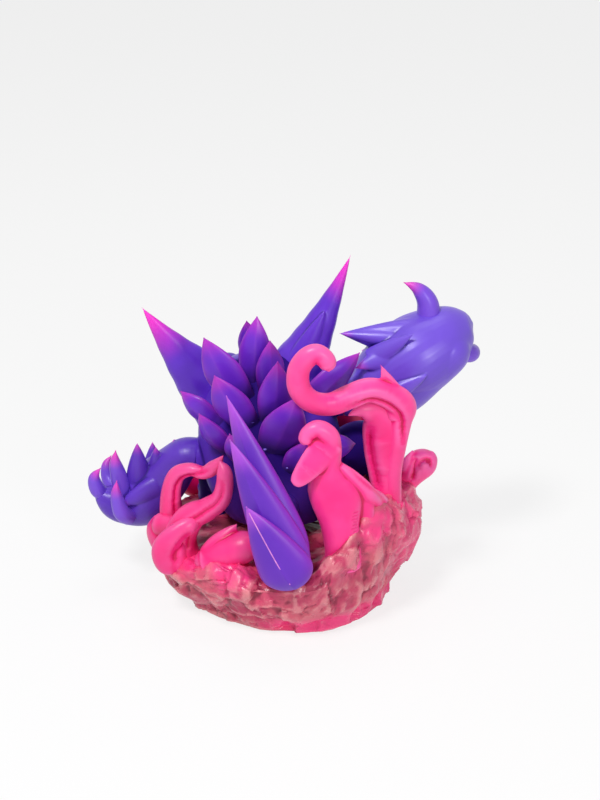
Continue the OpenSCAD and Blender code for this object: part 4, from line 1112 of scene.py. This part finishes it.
def scale_strand(layer, way, length, w):
    """A scale of one layer, counted outwards from the top one."""
    start = tail_butt + np.array([0, -0.3, -0.07]) * layer * tail_t
    rows = []
    for u in (0, 0.01, 0.03, 0.07, 0.13, 0.2, 0.28, 0.38, 0.5, 0.62, 0.74, 0.84, 0.92, 0.97, 1):
        size = math.sqrt(1 - (1 - min(u / 0.28, 1)) ** 2) * (1 - (max(u - 0.1, 0) / 0.9) ** 1.7)
        place = start + unit(way) * length * u + tail_out * tail_t * 0.36 * u * u
        rows.append([*place, w / 2 * size, tail_t / 2 * size])
    return strand(rows, unit(tail_out + np.array([-0.22, 0, 0])), (0, 1), taper=1.2, ridge=0.12)


tail_scales = {
    "tail_top_scale": scale_strand(0, tail_way, tail_l, tail_w),
    "tail_middle_scale": scale_strand(1, [-34, 7, 80], tail_l * 0.83, tail_w * 1.04),
    "tail_low_scale": scale_strand(2, [-26, 2, 48], tail_l * 0.52, tail_w * 1.1)}
for name, line in tail_scales.items():
    hand_in(swept(name, [line], scale_paint, 72, 0.8), [name], relief="spine")
# painted highlight: a thin pale tube laid along the lowest scale's keel
keel = seen_line(tail_scales["tail_low_scale"], (0.12, 0), (0.35, 0), (0.6, 0), (0.8, 0), (0.94, 0))
keel_highlight = [[*(place + tail_out * 0.62), 0.16, 0.16] for place in keel]
hand_in(swept("tail_keel_highlight", [strand(keel_highlight, BACK)], keel_highlight_finish, 10, 0.8), [])

tail_mid = tail_butt + tail_way * tail_l * 0.26
rump = torso_point(0.14, 0)[0]
stalk = [[*(rump + FORWARD * tail_w * 0.28), tail_w * 0.43, tail_w * 0.39],
         [*((rump * 2 + tail_mid) / 3 + UP * tail_w * 0.07), tail_w * 0.36, tail_w * 0.32],
         [*((rump + tail_mid * 2) / 3), tail_w * 0.32, tail_w * 0.28],
         [*tail_mid, tail_w * 0.32, tail_w * 0.28]]
stalk_mesh = swept("tail_stalk", [strand(stalk, UP, NO_TIP)], body_paint)
hand_in(stalk_mesh, ["tail_stalk"], relief="stalk")

# %% [markdown]
# ## Arms
# Each arm is moulded with its feather-like spikes, and turns on a peg against the flat shoulder seat. It
# starts a hair off the seat, so that nothing rubs when it turns. The right one also has a fuller underside,
# a broad sleeve spike and two flat flaps. Claws are set into the hands.

# %% Arms
def on_arm(place, side, length):
    """A place on an arm, from shares of its length."""
    foot = place + np.array([side * seat_gap, 0, 0])
    return lambda x, y, z: foot + np.array([side * x, y, z]) * length


right_on = on_arm(right_seat, 1, right_arm_l)
left_on = on_arm(left_seat, -1, left_arm_l)
right_shape = [
    [0.07, 0, 0, 0.49], [0.14, 0.02, 0.03, 0.56], [0.25, 0.07, 0.11, 0.8], [0.42, 0.11, 0.21, 0.98],
    [0.56, 0.14, 0.29, 0.9], [0.68, 0.17, 0.36, 0.68], [0.76, 0.18, 0.4, 0.36], [0.79, 0.18, 0.41, 0]]
left_shape = [
    [0.08, 0, 0, 0.71], [0.16, 0.03, -0.08, 0.78], [0.28, 0.09, -0.24, 0.95], [0.44, 0.1, -0.4, 1.04],
    [0.61, 0.07, -0.43, 0.76], [0.73, 0.03, -0.36, 0.46], [0.81, 0, -0.28, 0]]
right_spikes = [
    [[0.5, 0.1, 0.34], [-0.04, 0.06, 0.385], 0.48, 0.36, UP],
    [[0.5, 0, 0.36], [0.05, -0.08, 0.21], 0.5, 0.27, BACK + UP * 0.5],
    [[0.54, -0.06, 0.26], [0.35, -0.145, 0.115], 0.24, 0.2, BACK],
    [[0.44, 0.27, 0.2], [0.1, 0.25, 0.2], 0.38, 0.22, FORWARD]]
left_spikes = [
    [[0.46, 0.05, -0.28], [0.45, -0.07, 0.16], 0.48, 0.35, BACK],
    [[0.31, 0.05, -0.16], [0.31, -0.04, 0.11], 0.36, 0.29, BACK],
    [[0.19, 0.06, -0.1], [0.17, 0.04, 0.14], 0.36, 0.29, BACK],
    [[0.3, -0.06, -0.22], [0.62, -0.14, -0.36], 0.45, 0.29, BACK],
    [[0.36, 0.22, -0.26], [0.36, 0.26, 0.02], 0.39, 0.26, FORWARD]]


def limb_strand(on, d, shape):
    rows = [[*on(0.004, 0, 0), seat_r, seat_r]]
    rows += [[*on(x, y, z), r * d / 2, r * d / 2] for x, y, z, r in shape]
    return strand(rows, BACK, NO_TIP)


def arm_strands(on, d, shape, spikes):
    lines = [limb_strand(on, d, shape)]
    for root, point, w, t, face in spikes:
        lines.append(spike(on(*root), on(*point), w * d, t * d, face, 1.9))
    return lines


right_strands = arm_strands(right_on, right_arm_d, right_shape, right_spikes)
left_strands = arm_strands(left_on, left_arm_d, left_shape, left_spikes)
sleeve_point = min((s[1] for s in right_spikes), key=lambda point: point[0])
under_arm = [(0.2, 0.1, 0.01, 8), (0.31, 0.07, -0.01, 14), (0.5, 0.07, 0.165, 14.5),
             (0.66, 0.08, 0.315, 12.5), (0.74, 0.1, 0.4, 0)]
right_strands += [
    strand([[*right_on(x, y, z), r, r] for x, y, z, r in under_arm], BACK, NO_TIP),
    spike(right_on(0.5, 0.08, 0.33), right_on(*sleeve_point), 28, 18, BACK, 1.3, tip=(0, 0.9)),
    spike(right_on(0.15, -0.03, 0.25), right_on(0.41, -0.11, 0.45), 12, 6, BACK + UP * 0.6, 1.8, tip=NO_TIP),
    spike(right_on(0.24, -0.13, 0.03), right_on(0.5, -0.15, 0.2), 11, 6, BACK, 2, tip=NO_TIP)]
right_arm_mesh = melted("right_arm", right_strands, arm_paint, 0.55, 4)
hand_in(right_arm_mesh, ["right_arm"], "right_arm", "arm")
left_arm_mesh = melted("left_arm", left_strands, left_arm_shaded_paint, 0.5, 6)
hand_in(left_arm_mesh, ["left_arm"], "left_arm", "arm")


# %% Claws in the hands
def claw_strands(on, d, claws):
    return [strand([[*on(x, y, z), r * d, r * d] for x, y, z, r in rows], [1, -1, 0.3]) for rows in claws]


right_claws = claw_strands(right_on, right_arm_d, [
    [[0.51, 0.13, 0.42, 0.15], [0.5, 0.12, 0.56, 0.125], [0.44, 0.115, 0.65, 0.08], [0.35, 0.11, 0.695, 0]],
    [[0.69, 0.12, 0.25, 0.12], [0.78, 0.18, 0.21, 0.11], [0.8, 0.3, 0.18, 0.08], [0.76, 0.39, 0.13, 0]],
    [[0.65, 0.26, 0.34, 0.12], [0.71, 0.33, 0.34, 0.11], [0.74, 0.44, 0.3, 0.08], [0.72, 0.52, 0.24, 0]],
    [[0.58, 0.29, 0.2, 0.12], [0.62, 0.4, 0.16, 0.11], [0.62, 0.5, 0.1, 0.08], [0.58, 0.56, 0.04, 0]]])
left_claws = claw_strands(left_on, left_arm_d, [
    [[0.59, 0.01, -0.32, 0.17], [0.61, -0.02, -0.16, 0.15], [0.63, -0.05, -0.02, 0.1],
     [0.62, -0.07, 0.09, 0]],
    [[0.74, 0.05, -0.35, 0.14], [0.79, 0.01, -0.28, 0.14], [0.805, -0.014, -0.17, 0.1],
     [0.75, -0.03, -0.08, 0]],
    [[0.54, -0.08, -0.48, 0.16], [0.59, -0.15, -0.4, 0.15], [0.62, -0.17, -0.24, 0.1],
     [0.61, -0.18, -0.12, 0]],
    [[0.64, 0.16, -0.38, 0.155], [0.72, 0.24, -0.31, 0.135], [0.74, 0.28, -0.2, 0.09],
     [0.7, 0.29, -0.12, 0]]])
for arm, name, lines in (("right_arm", "right_claws", right_claws), ("left_arm", "left_claws", left_claws)):
    hand_in(swept(name, lines, claw_paint, 40, 0.6), [name], arm, "claw")

# %% [markdown]
# ## Flames
# The flames are moulded ribbons that stand in the rock, arch over and curl. Creases run along most of them,
# and the two largest have a flap at their bend.

# %% Flame strands
def flame(at, shape, reach, h, w, face=BACK, **form):
    rows = [[at[0] + p[0] * reach, at[1] + p[1] * reach, at[2] + p[2] * h, p[3] * w / 2, p[4] * w / 2]
            for p in shape]
    return strand(rows, face, (0, 1), **form)


tall_shape = [
    [-0.02, 0, -0.06, 0.66, 0.5], [-0.03, -0.04, 0.06, 0.64, 0.5], [-0.02, -0.09, 0.21, 0.56, 0.48],
    [0.02, -0.14, 0.37, 0.52, 0.46], [0.05, -0.2, 0.52, 0.56, 0.46], [0.06, -0.26, 0.62, 0.68, 0.47],
    [-0.05, -0.31, 0.69, 0.66, 0.47], [-0.25, -0.36, 0.735, 0.6, 0.46], [-0.43, -0.41, 0.71, 0.6, 0.46],
    [-0.61, -0.46, 0.68, 0.56, 0.45], [-0.78, -0.52, 0.71, 0.54, 0.45], [-0.89, -0.57, 0.79, 0.54, 0.45],
    [-0.9, -0.59, 0.89, 0.52, 0.44], [-0.83, -0.6, 0.96, 0.5, 0.42], [-0.74, -0.6, 0.985, 0.47, 0.4],
    [-0.66, -0.6, 0.955, 0.44, 0.38], [-0.635, -0.59, 0.915, 0.36, 0.32], [-0.63, -0.59, 0.885, 0, 0]]
inner_shape = [
    [0.05, 0, -0.06, 0.6, 0.5], [0.05, -0.02, 0.06, 0.62, 0.48], [0.04, -0.06, 0.22, 0.86, 0.44],
    [0.02, -0.09, 0.34, 0.98, 0.42], [0, -0.14, 0.47, 1, 0.42], [-0.05, -0.2, 0.57, 0.74, 0.4],
    [-0.17, -0.25, 0.61, 0.44, 0.36], [-0.32, -0.31, 0.59, 0, 0]]
front_shape = [
    [0, 0, -0.08, 0.66, 0.5], [0, -0.09, 0.07, 0.64, 0.5], [-0.09, -0.14, 0.27, 0.68, 0.5],
    [-0.18, -0.19, 0.45, 0.86, 0.48], [-0.34, -0.2, 0.6, 0.84, 0.45], [-0.4, -0.22, 0.69, 0.62, 0.42],
    [-0.42, -0.25, 0.77, 0.44, 0.39], [-0.39, -0.3, 0.9, 0.4, 0.36], [-0.45, -0.35, 1, 0.37, 0.34],
    [-0.72, -0.4, 1.06, 0.31, 0.3], [-0.98, -0.44, 1.03, 0.27, 0.26], [-1.07, -0.45, 0.97, 0.22, 0.22],
    [-1.09, -0.45, 0.94, 0, 0]]
buttress_shape = [
    [-0.14, -0.29, 0.76, 0.16, 0.16], [0.12, -0.22, 0.68, 0.27, 0.24], [0.44, -0.08, 0.57, 0.34, 0.28],
    [0.7, 0.1, 0.47, 0.36, 0.3], [0.96, 0.6, 0.37, 0.34, 0.3], [1.12, 1.1, 0.24, 0.36, 0.3],
    [1.18, 1.4, 0.06, 0.4, 0.3]]
upper_shape = [
    [0.04, 0, -0.1, 1.1, 0.75], [-0.04, -0.03, 0.2, 0.95, 0.72], [-0.06, -0.04, 0.47, 0.74, 0.64],
    [0.02, -0.07, 0.68, 0.62, 0.56], [0.2, -0.12, 0.755, 0.5, 0.5], [0.38, -0.18, 0.745, 0.47, 0.48],
    [0.52, -0.22, 0.82, 0.5, 0.46], [0.64, -0.27, 0.95, 0, 0]]
lower_shape = [
    [0, 0, -0.1, 1.25, 0.8], [-0.06, 0, 0.13, 1.2, 0.8], [0.08, -0.01, 0.34, 1.05, 0.78],
    [0.3, -0.05, 0.44, 0.86, 0.74], [0.47, -0.09, 0.55, 0.72, 0.66], [0.53, -0.09, 0.7, 0.62, 0.58],
    [0.52, -0.07, 0.83, 0.5, 0.5], [0.46, -0.06, 0.92, 0, 0]]
face_shape = [
    [0, 0, -0.1, 0.8, 0.5], [0.1, 0.05, 0.3, 0.95, 0.62], [0.06, 0.08, 0.56, 0.82, 0.54],
    [0.14, 0.02, 0.8, 0.5, 0.4], [0.3, -0.02, 1, 0, 0]]


def lick(at, *steps):
    """A small round tongue of flame through places beside at, each with its radius."""
    return strand([[*(at + np.array(p)), r, r * 0.8] for p, r in steps], FORWARD)


tall_knee = tall_at + [tall_reach * 0.06, -tall_reach * 0.24, tall_h * 0.57]
tall_tip = tall_at + [-tall_reach * 0.155, -tall_reach * 0.36, tall_h * 0.875]
front_knee = front_at + [-front_reach * 0.36, -front_reach * 0.42, front_h * 0.97]
front_tip = front_at + [-front_reach * 1.34, -front_reach * 0.66, front_h * 0.66]
tall_main = flame(tall_at, tall_shape, tall_reach, tall_h, tall_w)
tall_flap = spike(tall_knee, tall_tip, tall_w * 0.7, tall_w * 0.42, BACK, 1.6, groove=0.2)
tall_inner = flame(inner_at, inner_shape, tall_reach, tall_h, tall_w * 0.85)
front_main = flame(front_at, front_shape, front_reach, front_h, front_w)
TONGUE = [(0, 0.9), (0.2, 1), (0.45, 0.95), (0.7, 0.78), (0.9, 0.56), (1, 0.3), (1.02, 0)]
front_petal = strand([[*(front_knee + (front_tip - front_knee) * u), front_w * 0.26 * v,
                       front_w * 0.1 * v ** 0.5] for u, v in TONGUE], BACK)
front_buttress = flame(front_at, buttress_shape, front_reach, front_h, front_w)
front_web = flame(front_at, [
    [-0.1, -0.24, 0.66, 0.3, 0.24], [0.14, -0.14, 0.56, 0.5, 0.28], [0.34, 0, 0.44, 0.6, 0.28],
    [0.42, 0.1, 0.3, 0.56, 0.28], [0.42, 0.14, 0.14, 0.5, 0.28], [0.42, 0.14, 0, 0.4, 0.28]],
    front_reach, front_h, front_w)
loop_upper = flame(loop_upper_at, upper_shape, loop_reach, loop_h, loop_w)
loop_lower = flame(loop_lower_at, lower_shape, loop_reach, loop_h, loop_w)
flame_strands = {
    "flame_tall": [tall_main, tall_flap],
    "flame_tall_inner": [tall_inner],
    "flame_front": [front_main, front_petal, front_buttress, front_web],
    "flame_loop_upper": [loop_upper],
    "flame_loop_lower": [loop_lower],
    "flame_face_right": [
        flame(face_right_at, face_shape, face_reach, face_flame_h, face_flame_w * 1.3, FORWARD, groove=0.35),
        lick(face_right_at, ([4, 1, 0], 7), ([10, 2, 10], 6), ([14, 1, 24], 4.5), ([13, 0, 36], 0)),
        lick(face_right_at, ([-5, 2, 0], 7), ([-13, 4, 8], 5.5), ([-18, 4, 17], 4), ([-17, 3, 27], 0))],
    "flame_face_left": [
        flame(face_left_at, face_shape, -face_reach, face_flame_h * 0.55, face_flame_w, FORWARD, groove=0.35),
        lick(face_left_at, ([2, 0, 0], 6), ([-12, -2, -1], 7), ([-24, -8, 0], 7), ([-31, -12, 8], 4),
             ([-34, -14, 17], 0)),
        lick(face_left_at, ([4, 0, 0], 6), ([11, 0, 4], 5), ([17, 0, 11], 3.5), ([18, -1, 19], 0))]}
scratch_w, scratch_t = 0.45, 0.35
scratches = []
for k, u in enumerate(np.linspace(0.09, 0.36, 15)):
    scratch = seen_line(front_main, (u, 0.5 + 0.06 * (k % 3)), (u - 0.004, 0.72), (u - 0.01, 0.9))
    scratches.append((scratch, scratch_w, scratch_t))
creases = {
    "flame_tall": [
        (seen_line(tall_main, (0.26, 0.7), (0.33, 0.3), (0.4, -0.1), (0.48, -0.3), (0.56, -0.42),
                   (0.64, -0.6)), 1.8, 1.4),
        (seen_line(tall_main, (0.4, 0.4), (0.5, 0.5), (0.6, 0.4), (0.7, 0.3)), 3, -0.5)],
    "flame_tall_inner": [
        (seen_line(tall_inner, (0.16, -0.2), (0.3, -0.45), (0.45, -0.62), (0.6, -0.66), (0.78, -0.5)),
         2.6, 1.3),
        (seen_line(tall_inner, (0.3, 0.1), (0.5, 0.05), (0.64, 0.1)), 5, -0.5)],
    "flame_front": scratches + [
        (seen_line(front_petal, (0.15, 0.1), (0.4, 0.1), (0.7, 0.1)), 5, 0.5),
        (seen_line(front_buttress, (0.02, -0.9), (0.3, -0.8), (0.6, -0.8), (0.9, -0.6)), 1.8, 0.7)],
    "flame_loop_upper": [
        (seen_line(loop_upper, (0.2, 0.2), (0.4, 0.35), (0.56, 0.2), (0.75, 0.1), (0.9, 0)), 1.5, 1.0)],
    "flame_loop_lower": [
        (seen_line(loop_lower, (0.12, -0.1), (0.3, -0.35), (0.5, -0.2), (0.7, 0.1), (0.9, 0)), 1.6, 1.0),
        (seen_line(loop_lower, (0.1, 0.4), (0.3, 0.3), (0.48, 0.45)), 1.4, 0.7)]}
left_rim = rim_r * (1 + left_swell)


def rim_lobe(degrees, shape):
    """A low lobe on the left rim: distance past the rim and radius by its thickness, and height share."""
    c, s = turn(degrees)
    rows = []
    for past, height, size in shape:
        reach = left_rim + past * lobe_d
        rows.append([reach * c, reach * s, base_h * height, size * lobe_d, size * lobe_d])
    return strand(rows, [c, s, 0], groove=0.15)


def round_lobe(at, shape, length):
    """A lobe of round section, from shares of its length."""
    return strand([[*(at + np.array(p[:3]) * length), p[3] * length, p[3] * length] for p in shape], BACK)


def fold_arc(middle, radius, first, last):
    """Points on an upright circle, from one angle to another."""
    angles = np.radians(np.linspace(first, last, 9))
    return [middle + np.array([math.cos(a), 0, math.sin(a)]) * radius for a in angles]


def by_shares(at, length, *shares):
    """Places beside at, from shares of a length."""
    return [at + np.array(share) * length for share in shares]


flame_strands["flame_left_lobe"] = [
    rim_lobe(200, [[-0.6, 0.66, 0], [-0.32, 0.8, 0.28], [-0.1, 1.02, 0.42], [-0.02, 1.24, 0.36],
                   [0.06, 1.4, 0]]),
    strand([[-75, -27, 52, 0, 0], [-71, -29, 52, 6, 5.5], [-66, -33, 53, 6, 5], [-60, -37, 55, 5, 4.5],
            [-54, -39, 58, 4.5, 4], [-50, -40, 60, 0, 0]], BACK)]
flame_strands["flame_left_drop"] = [
    rim_lobe(214, [[-0.25, 0.66, 0], [-0.15, 0.8, 0.3], [-0.12, 1.02, 0.38], [-0.16, 1.2, 0.3],
                   [-0.3, 1.36, 0]]),
    strand([[-47, -41, 60, 0, 0], [-52, -43, 59, 4.5, 3.5], [-58, -45, 56, 5.5, 4],
            [-63.5, -46, 51, 6.5, 4.5], [-66.5, -45.5, 45, 7.2, 5], [-66, -44, 38, 7.2, 5.5],
            [-64, -42, 32, 5.5, 5], [-63, -41, 28, 0, 0]], BACK)]
mound_main = round_lobe(mound_at, [
    [-0.26, 0.02, -0.1, 0], [-0.18, 0.01, 0, 0.12], [0, 0, 0.09, 0.18], [0.16, -0.02, 0.16, 0.2],
    [0.36, -0.06, 0.26, 0.17], [0.56, -0.1, 0.36, 0]], mound_l)
mound_peak = spike(*by_shares(mound_at, mound_l, [-0.06, 0.02, 0.06], [0.22, 0.04, 0.48]),
                   mound_l * 0.36, mound_l * 0.26, BACK, 2.2)
mound_ridge = spike(*by_shares(mound_at, mound_l, [-0.16, 0, 0], [0.5, -0.14, 0.2]),
                    mound_l * 0.34, mound_l * 0.3, BACK, 2.4)
flame_strands["flame_mound"] = [mound_main, mound_peak, mound_ridge]
creases["flame_left_drop"] = [
    ([[-50, -47, 56], [-57, -50, 51], [-60.5, -51, 44], [-60.5, -49, 36]], 2.4, 0.8)]
flame_strands["flame_bud"] = [
    round_lobe(bud_at, [[-0.15, 0, -0.3, 0.25], [0.05, 0, 0.1, 0.33], [0.25, 0, 0.42, 0.42],
                        [0.46, 0, 0.62, 0.4], [0.62, 0, 0.8, 0.24], [0.68, 0, 0.9, 0]], bud_l),
    round_lobe(bud_at, [[-0.02, -0.1, 0.2, 0.1], [-0.04, -0.14, 0.5, 0.17], [0.04, -0.1, 0.74, 0.14],
                        [0.12, -0.04, 0.96, 0.02]], bud_l)]
bud_middle = bud_at + np.array([0.52, -0.4, 0.66]) * bud_l
creases["flame_bud"] = [
    (fold_arc(bud_middle, 5.5, 215, 30), 1.5, 1.5),
    (fold_arc(bud_middle + UP * 0.8, 2.8, -60, 130), 1.3, 1.3),
    (by_shares(bud_at, bud_l, [0.08, -0.36, 0.1], [0.12, -0.4, 0.4], [0.14, -0.36, 0.66],
               [0.22, -0.24, 0.9]), 1.4, 1.4)]
DEEPER_PINK = ("flame_loop_upper", "flame_loop_lower", "flame_left_lobe", "flame_left_drop", "flame_mound")
for name, lines in flame_strands.items():
    flame_mesh = melted(name, lines, flame_paint, 0.5, 4, sides=48, step=0.8)
    engrave(flame_mesh, creases.get(name, []))
    skin = places_of(flame_mesh) / MM
    hollow = np.exp(-(np.linalg.norm(skin - stand(0.93, 222) - UP * 6, axis=1) / 9) ** 2)
    behind = ramp(skin[:, 1], 56, 50) if name.startswith("flame_face") else 0
    deeper = 0.3 if name in DEEPER_PINK else 0
    store(flame_mesh, "shade", np.maximum(np.maximum(0.95 * hollow, behind), deeper))
    hand_in(flame_mesh, [name], relief="flame")

# %% [markdown]
# ## Solids that stay
# The felt, pins and pegs are already the right shape, so the solids stay and only get a finish.

# %% Finishes of the solids that stay
for node, finish in (("base_felt", felt_finish), ("neck_pin", steel_finish), ("tail_pin", steel_finish),
                     ("left_foot_pin", steel_finish), ("right_foot_pin", steel_finish),
                     ("right_shoulder_peg", peg_finish), ("left_shoulder_peg", peg_finish)):
    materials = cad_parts[node].data.materials
    materials.clear()
    materials.append(finish)
print("pieces hold", total, "triangles")

# %% [markdown]
# ## Stage and light
# The photograph is cut out on white, under soft light from above. A wide pale floor is lifted to white
# where the camera sees it, straight or mirrored, and keeps a faint shadow. Soft lamps light the paint at
# about its own colour.

# %% Floor, world and lamps
def seen_rays(at):
    """1 for what the camera sees, straight on or mirrored, and 0 for light that only bounces."""
    camera_ray, glossy_ray, clear_ray = (at.node("ShaderNodeLightPath", {}, {}, out="Is " + kind + " Ray")
                                         for kind in ("Camera", "Glossy", "Transmission"))
    return (camera_ray + glossy_ray + clear_ray).clamp()


def white_floor():
    material, at = new_paint("white_studio_floor")
    card = at.node("ShaderNodeBsdfDiffuse", {}, {"Color": (0.9, 0.9, 0.9, 1)})
    glow = at.node("ShaderNodeEmission", {}, {"Color": (1, 1, 1, 1), "Strength": 1.0})
    both = at.node("ShaderNodeMixShader", {}, {0: seen_rays(at) * 0.8, 1: card, 2: glow})
    at.node("ShaderNodeOutputMaterial", {}, {"Surface": both})
    return material


floor_mesh = bpy.data.meshes.new("studio_floor")
half = 6.0
corners = [(-half, -half, 0), (half, -half, 0), (half, half, 0), (-half, half, 0)]
floor_mesh.from_pydata(corners, [], [(0, 1, 2, 3)])
floor_mesh.materials.append(white_floor())
floor = bpy.data.objects.new("studio_floor", floor_mesh)
scene.collection.objects.link(floor)

world = bpy.data.worlds.new("white_room")
scene.world = world
world.use_nodes = True
world.node_tree.nodes.clear()
at = Value(world.node_tree)
brightness = 0.25 + seen_rays(at) * 0.75
room = at.node("ShaderNodeBackground", {}, {"Color": (1, 1, 1, 1), "Strength": brightness})
at.node("ShaderNodeOutputWorld", {}, {"Surface": room})


def lamp(name, place, size, share):
    """A square soft lamp aimed at the figure; share is what it adds to a facing white surface."""
    light = bpy.data.lights.new(name, "AREA")
    light.size = size
    way = look_at - Vector(place)
    light.energy = math.pi ** 2 * way.length ** 2 * share
    thing = bpy.data.objects.new(name, light)
    thing.location = place
    thing.rotation_euler = way.to_track_quat("-Z", "Y").to_euler()
    scene.collection.objects.link(thing)


lamp("key_above_left", (-0.45, -0.75, 1.3), 0.28, 0.66)
lamp("fill_right", (0.6, -1.15, 0.45), 0.3, 0.28)
lamp("top", (0.1, 0.3, 1.5), 0.7, 0.15)
print("stage and", len(bpy.data.lights), "lamps")
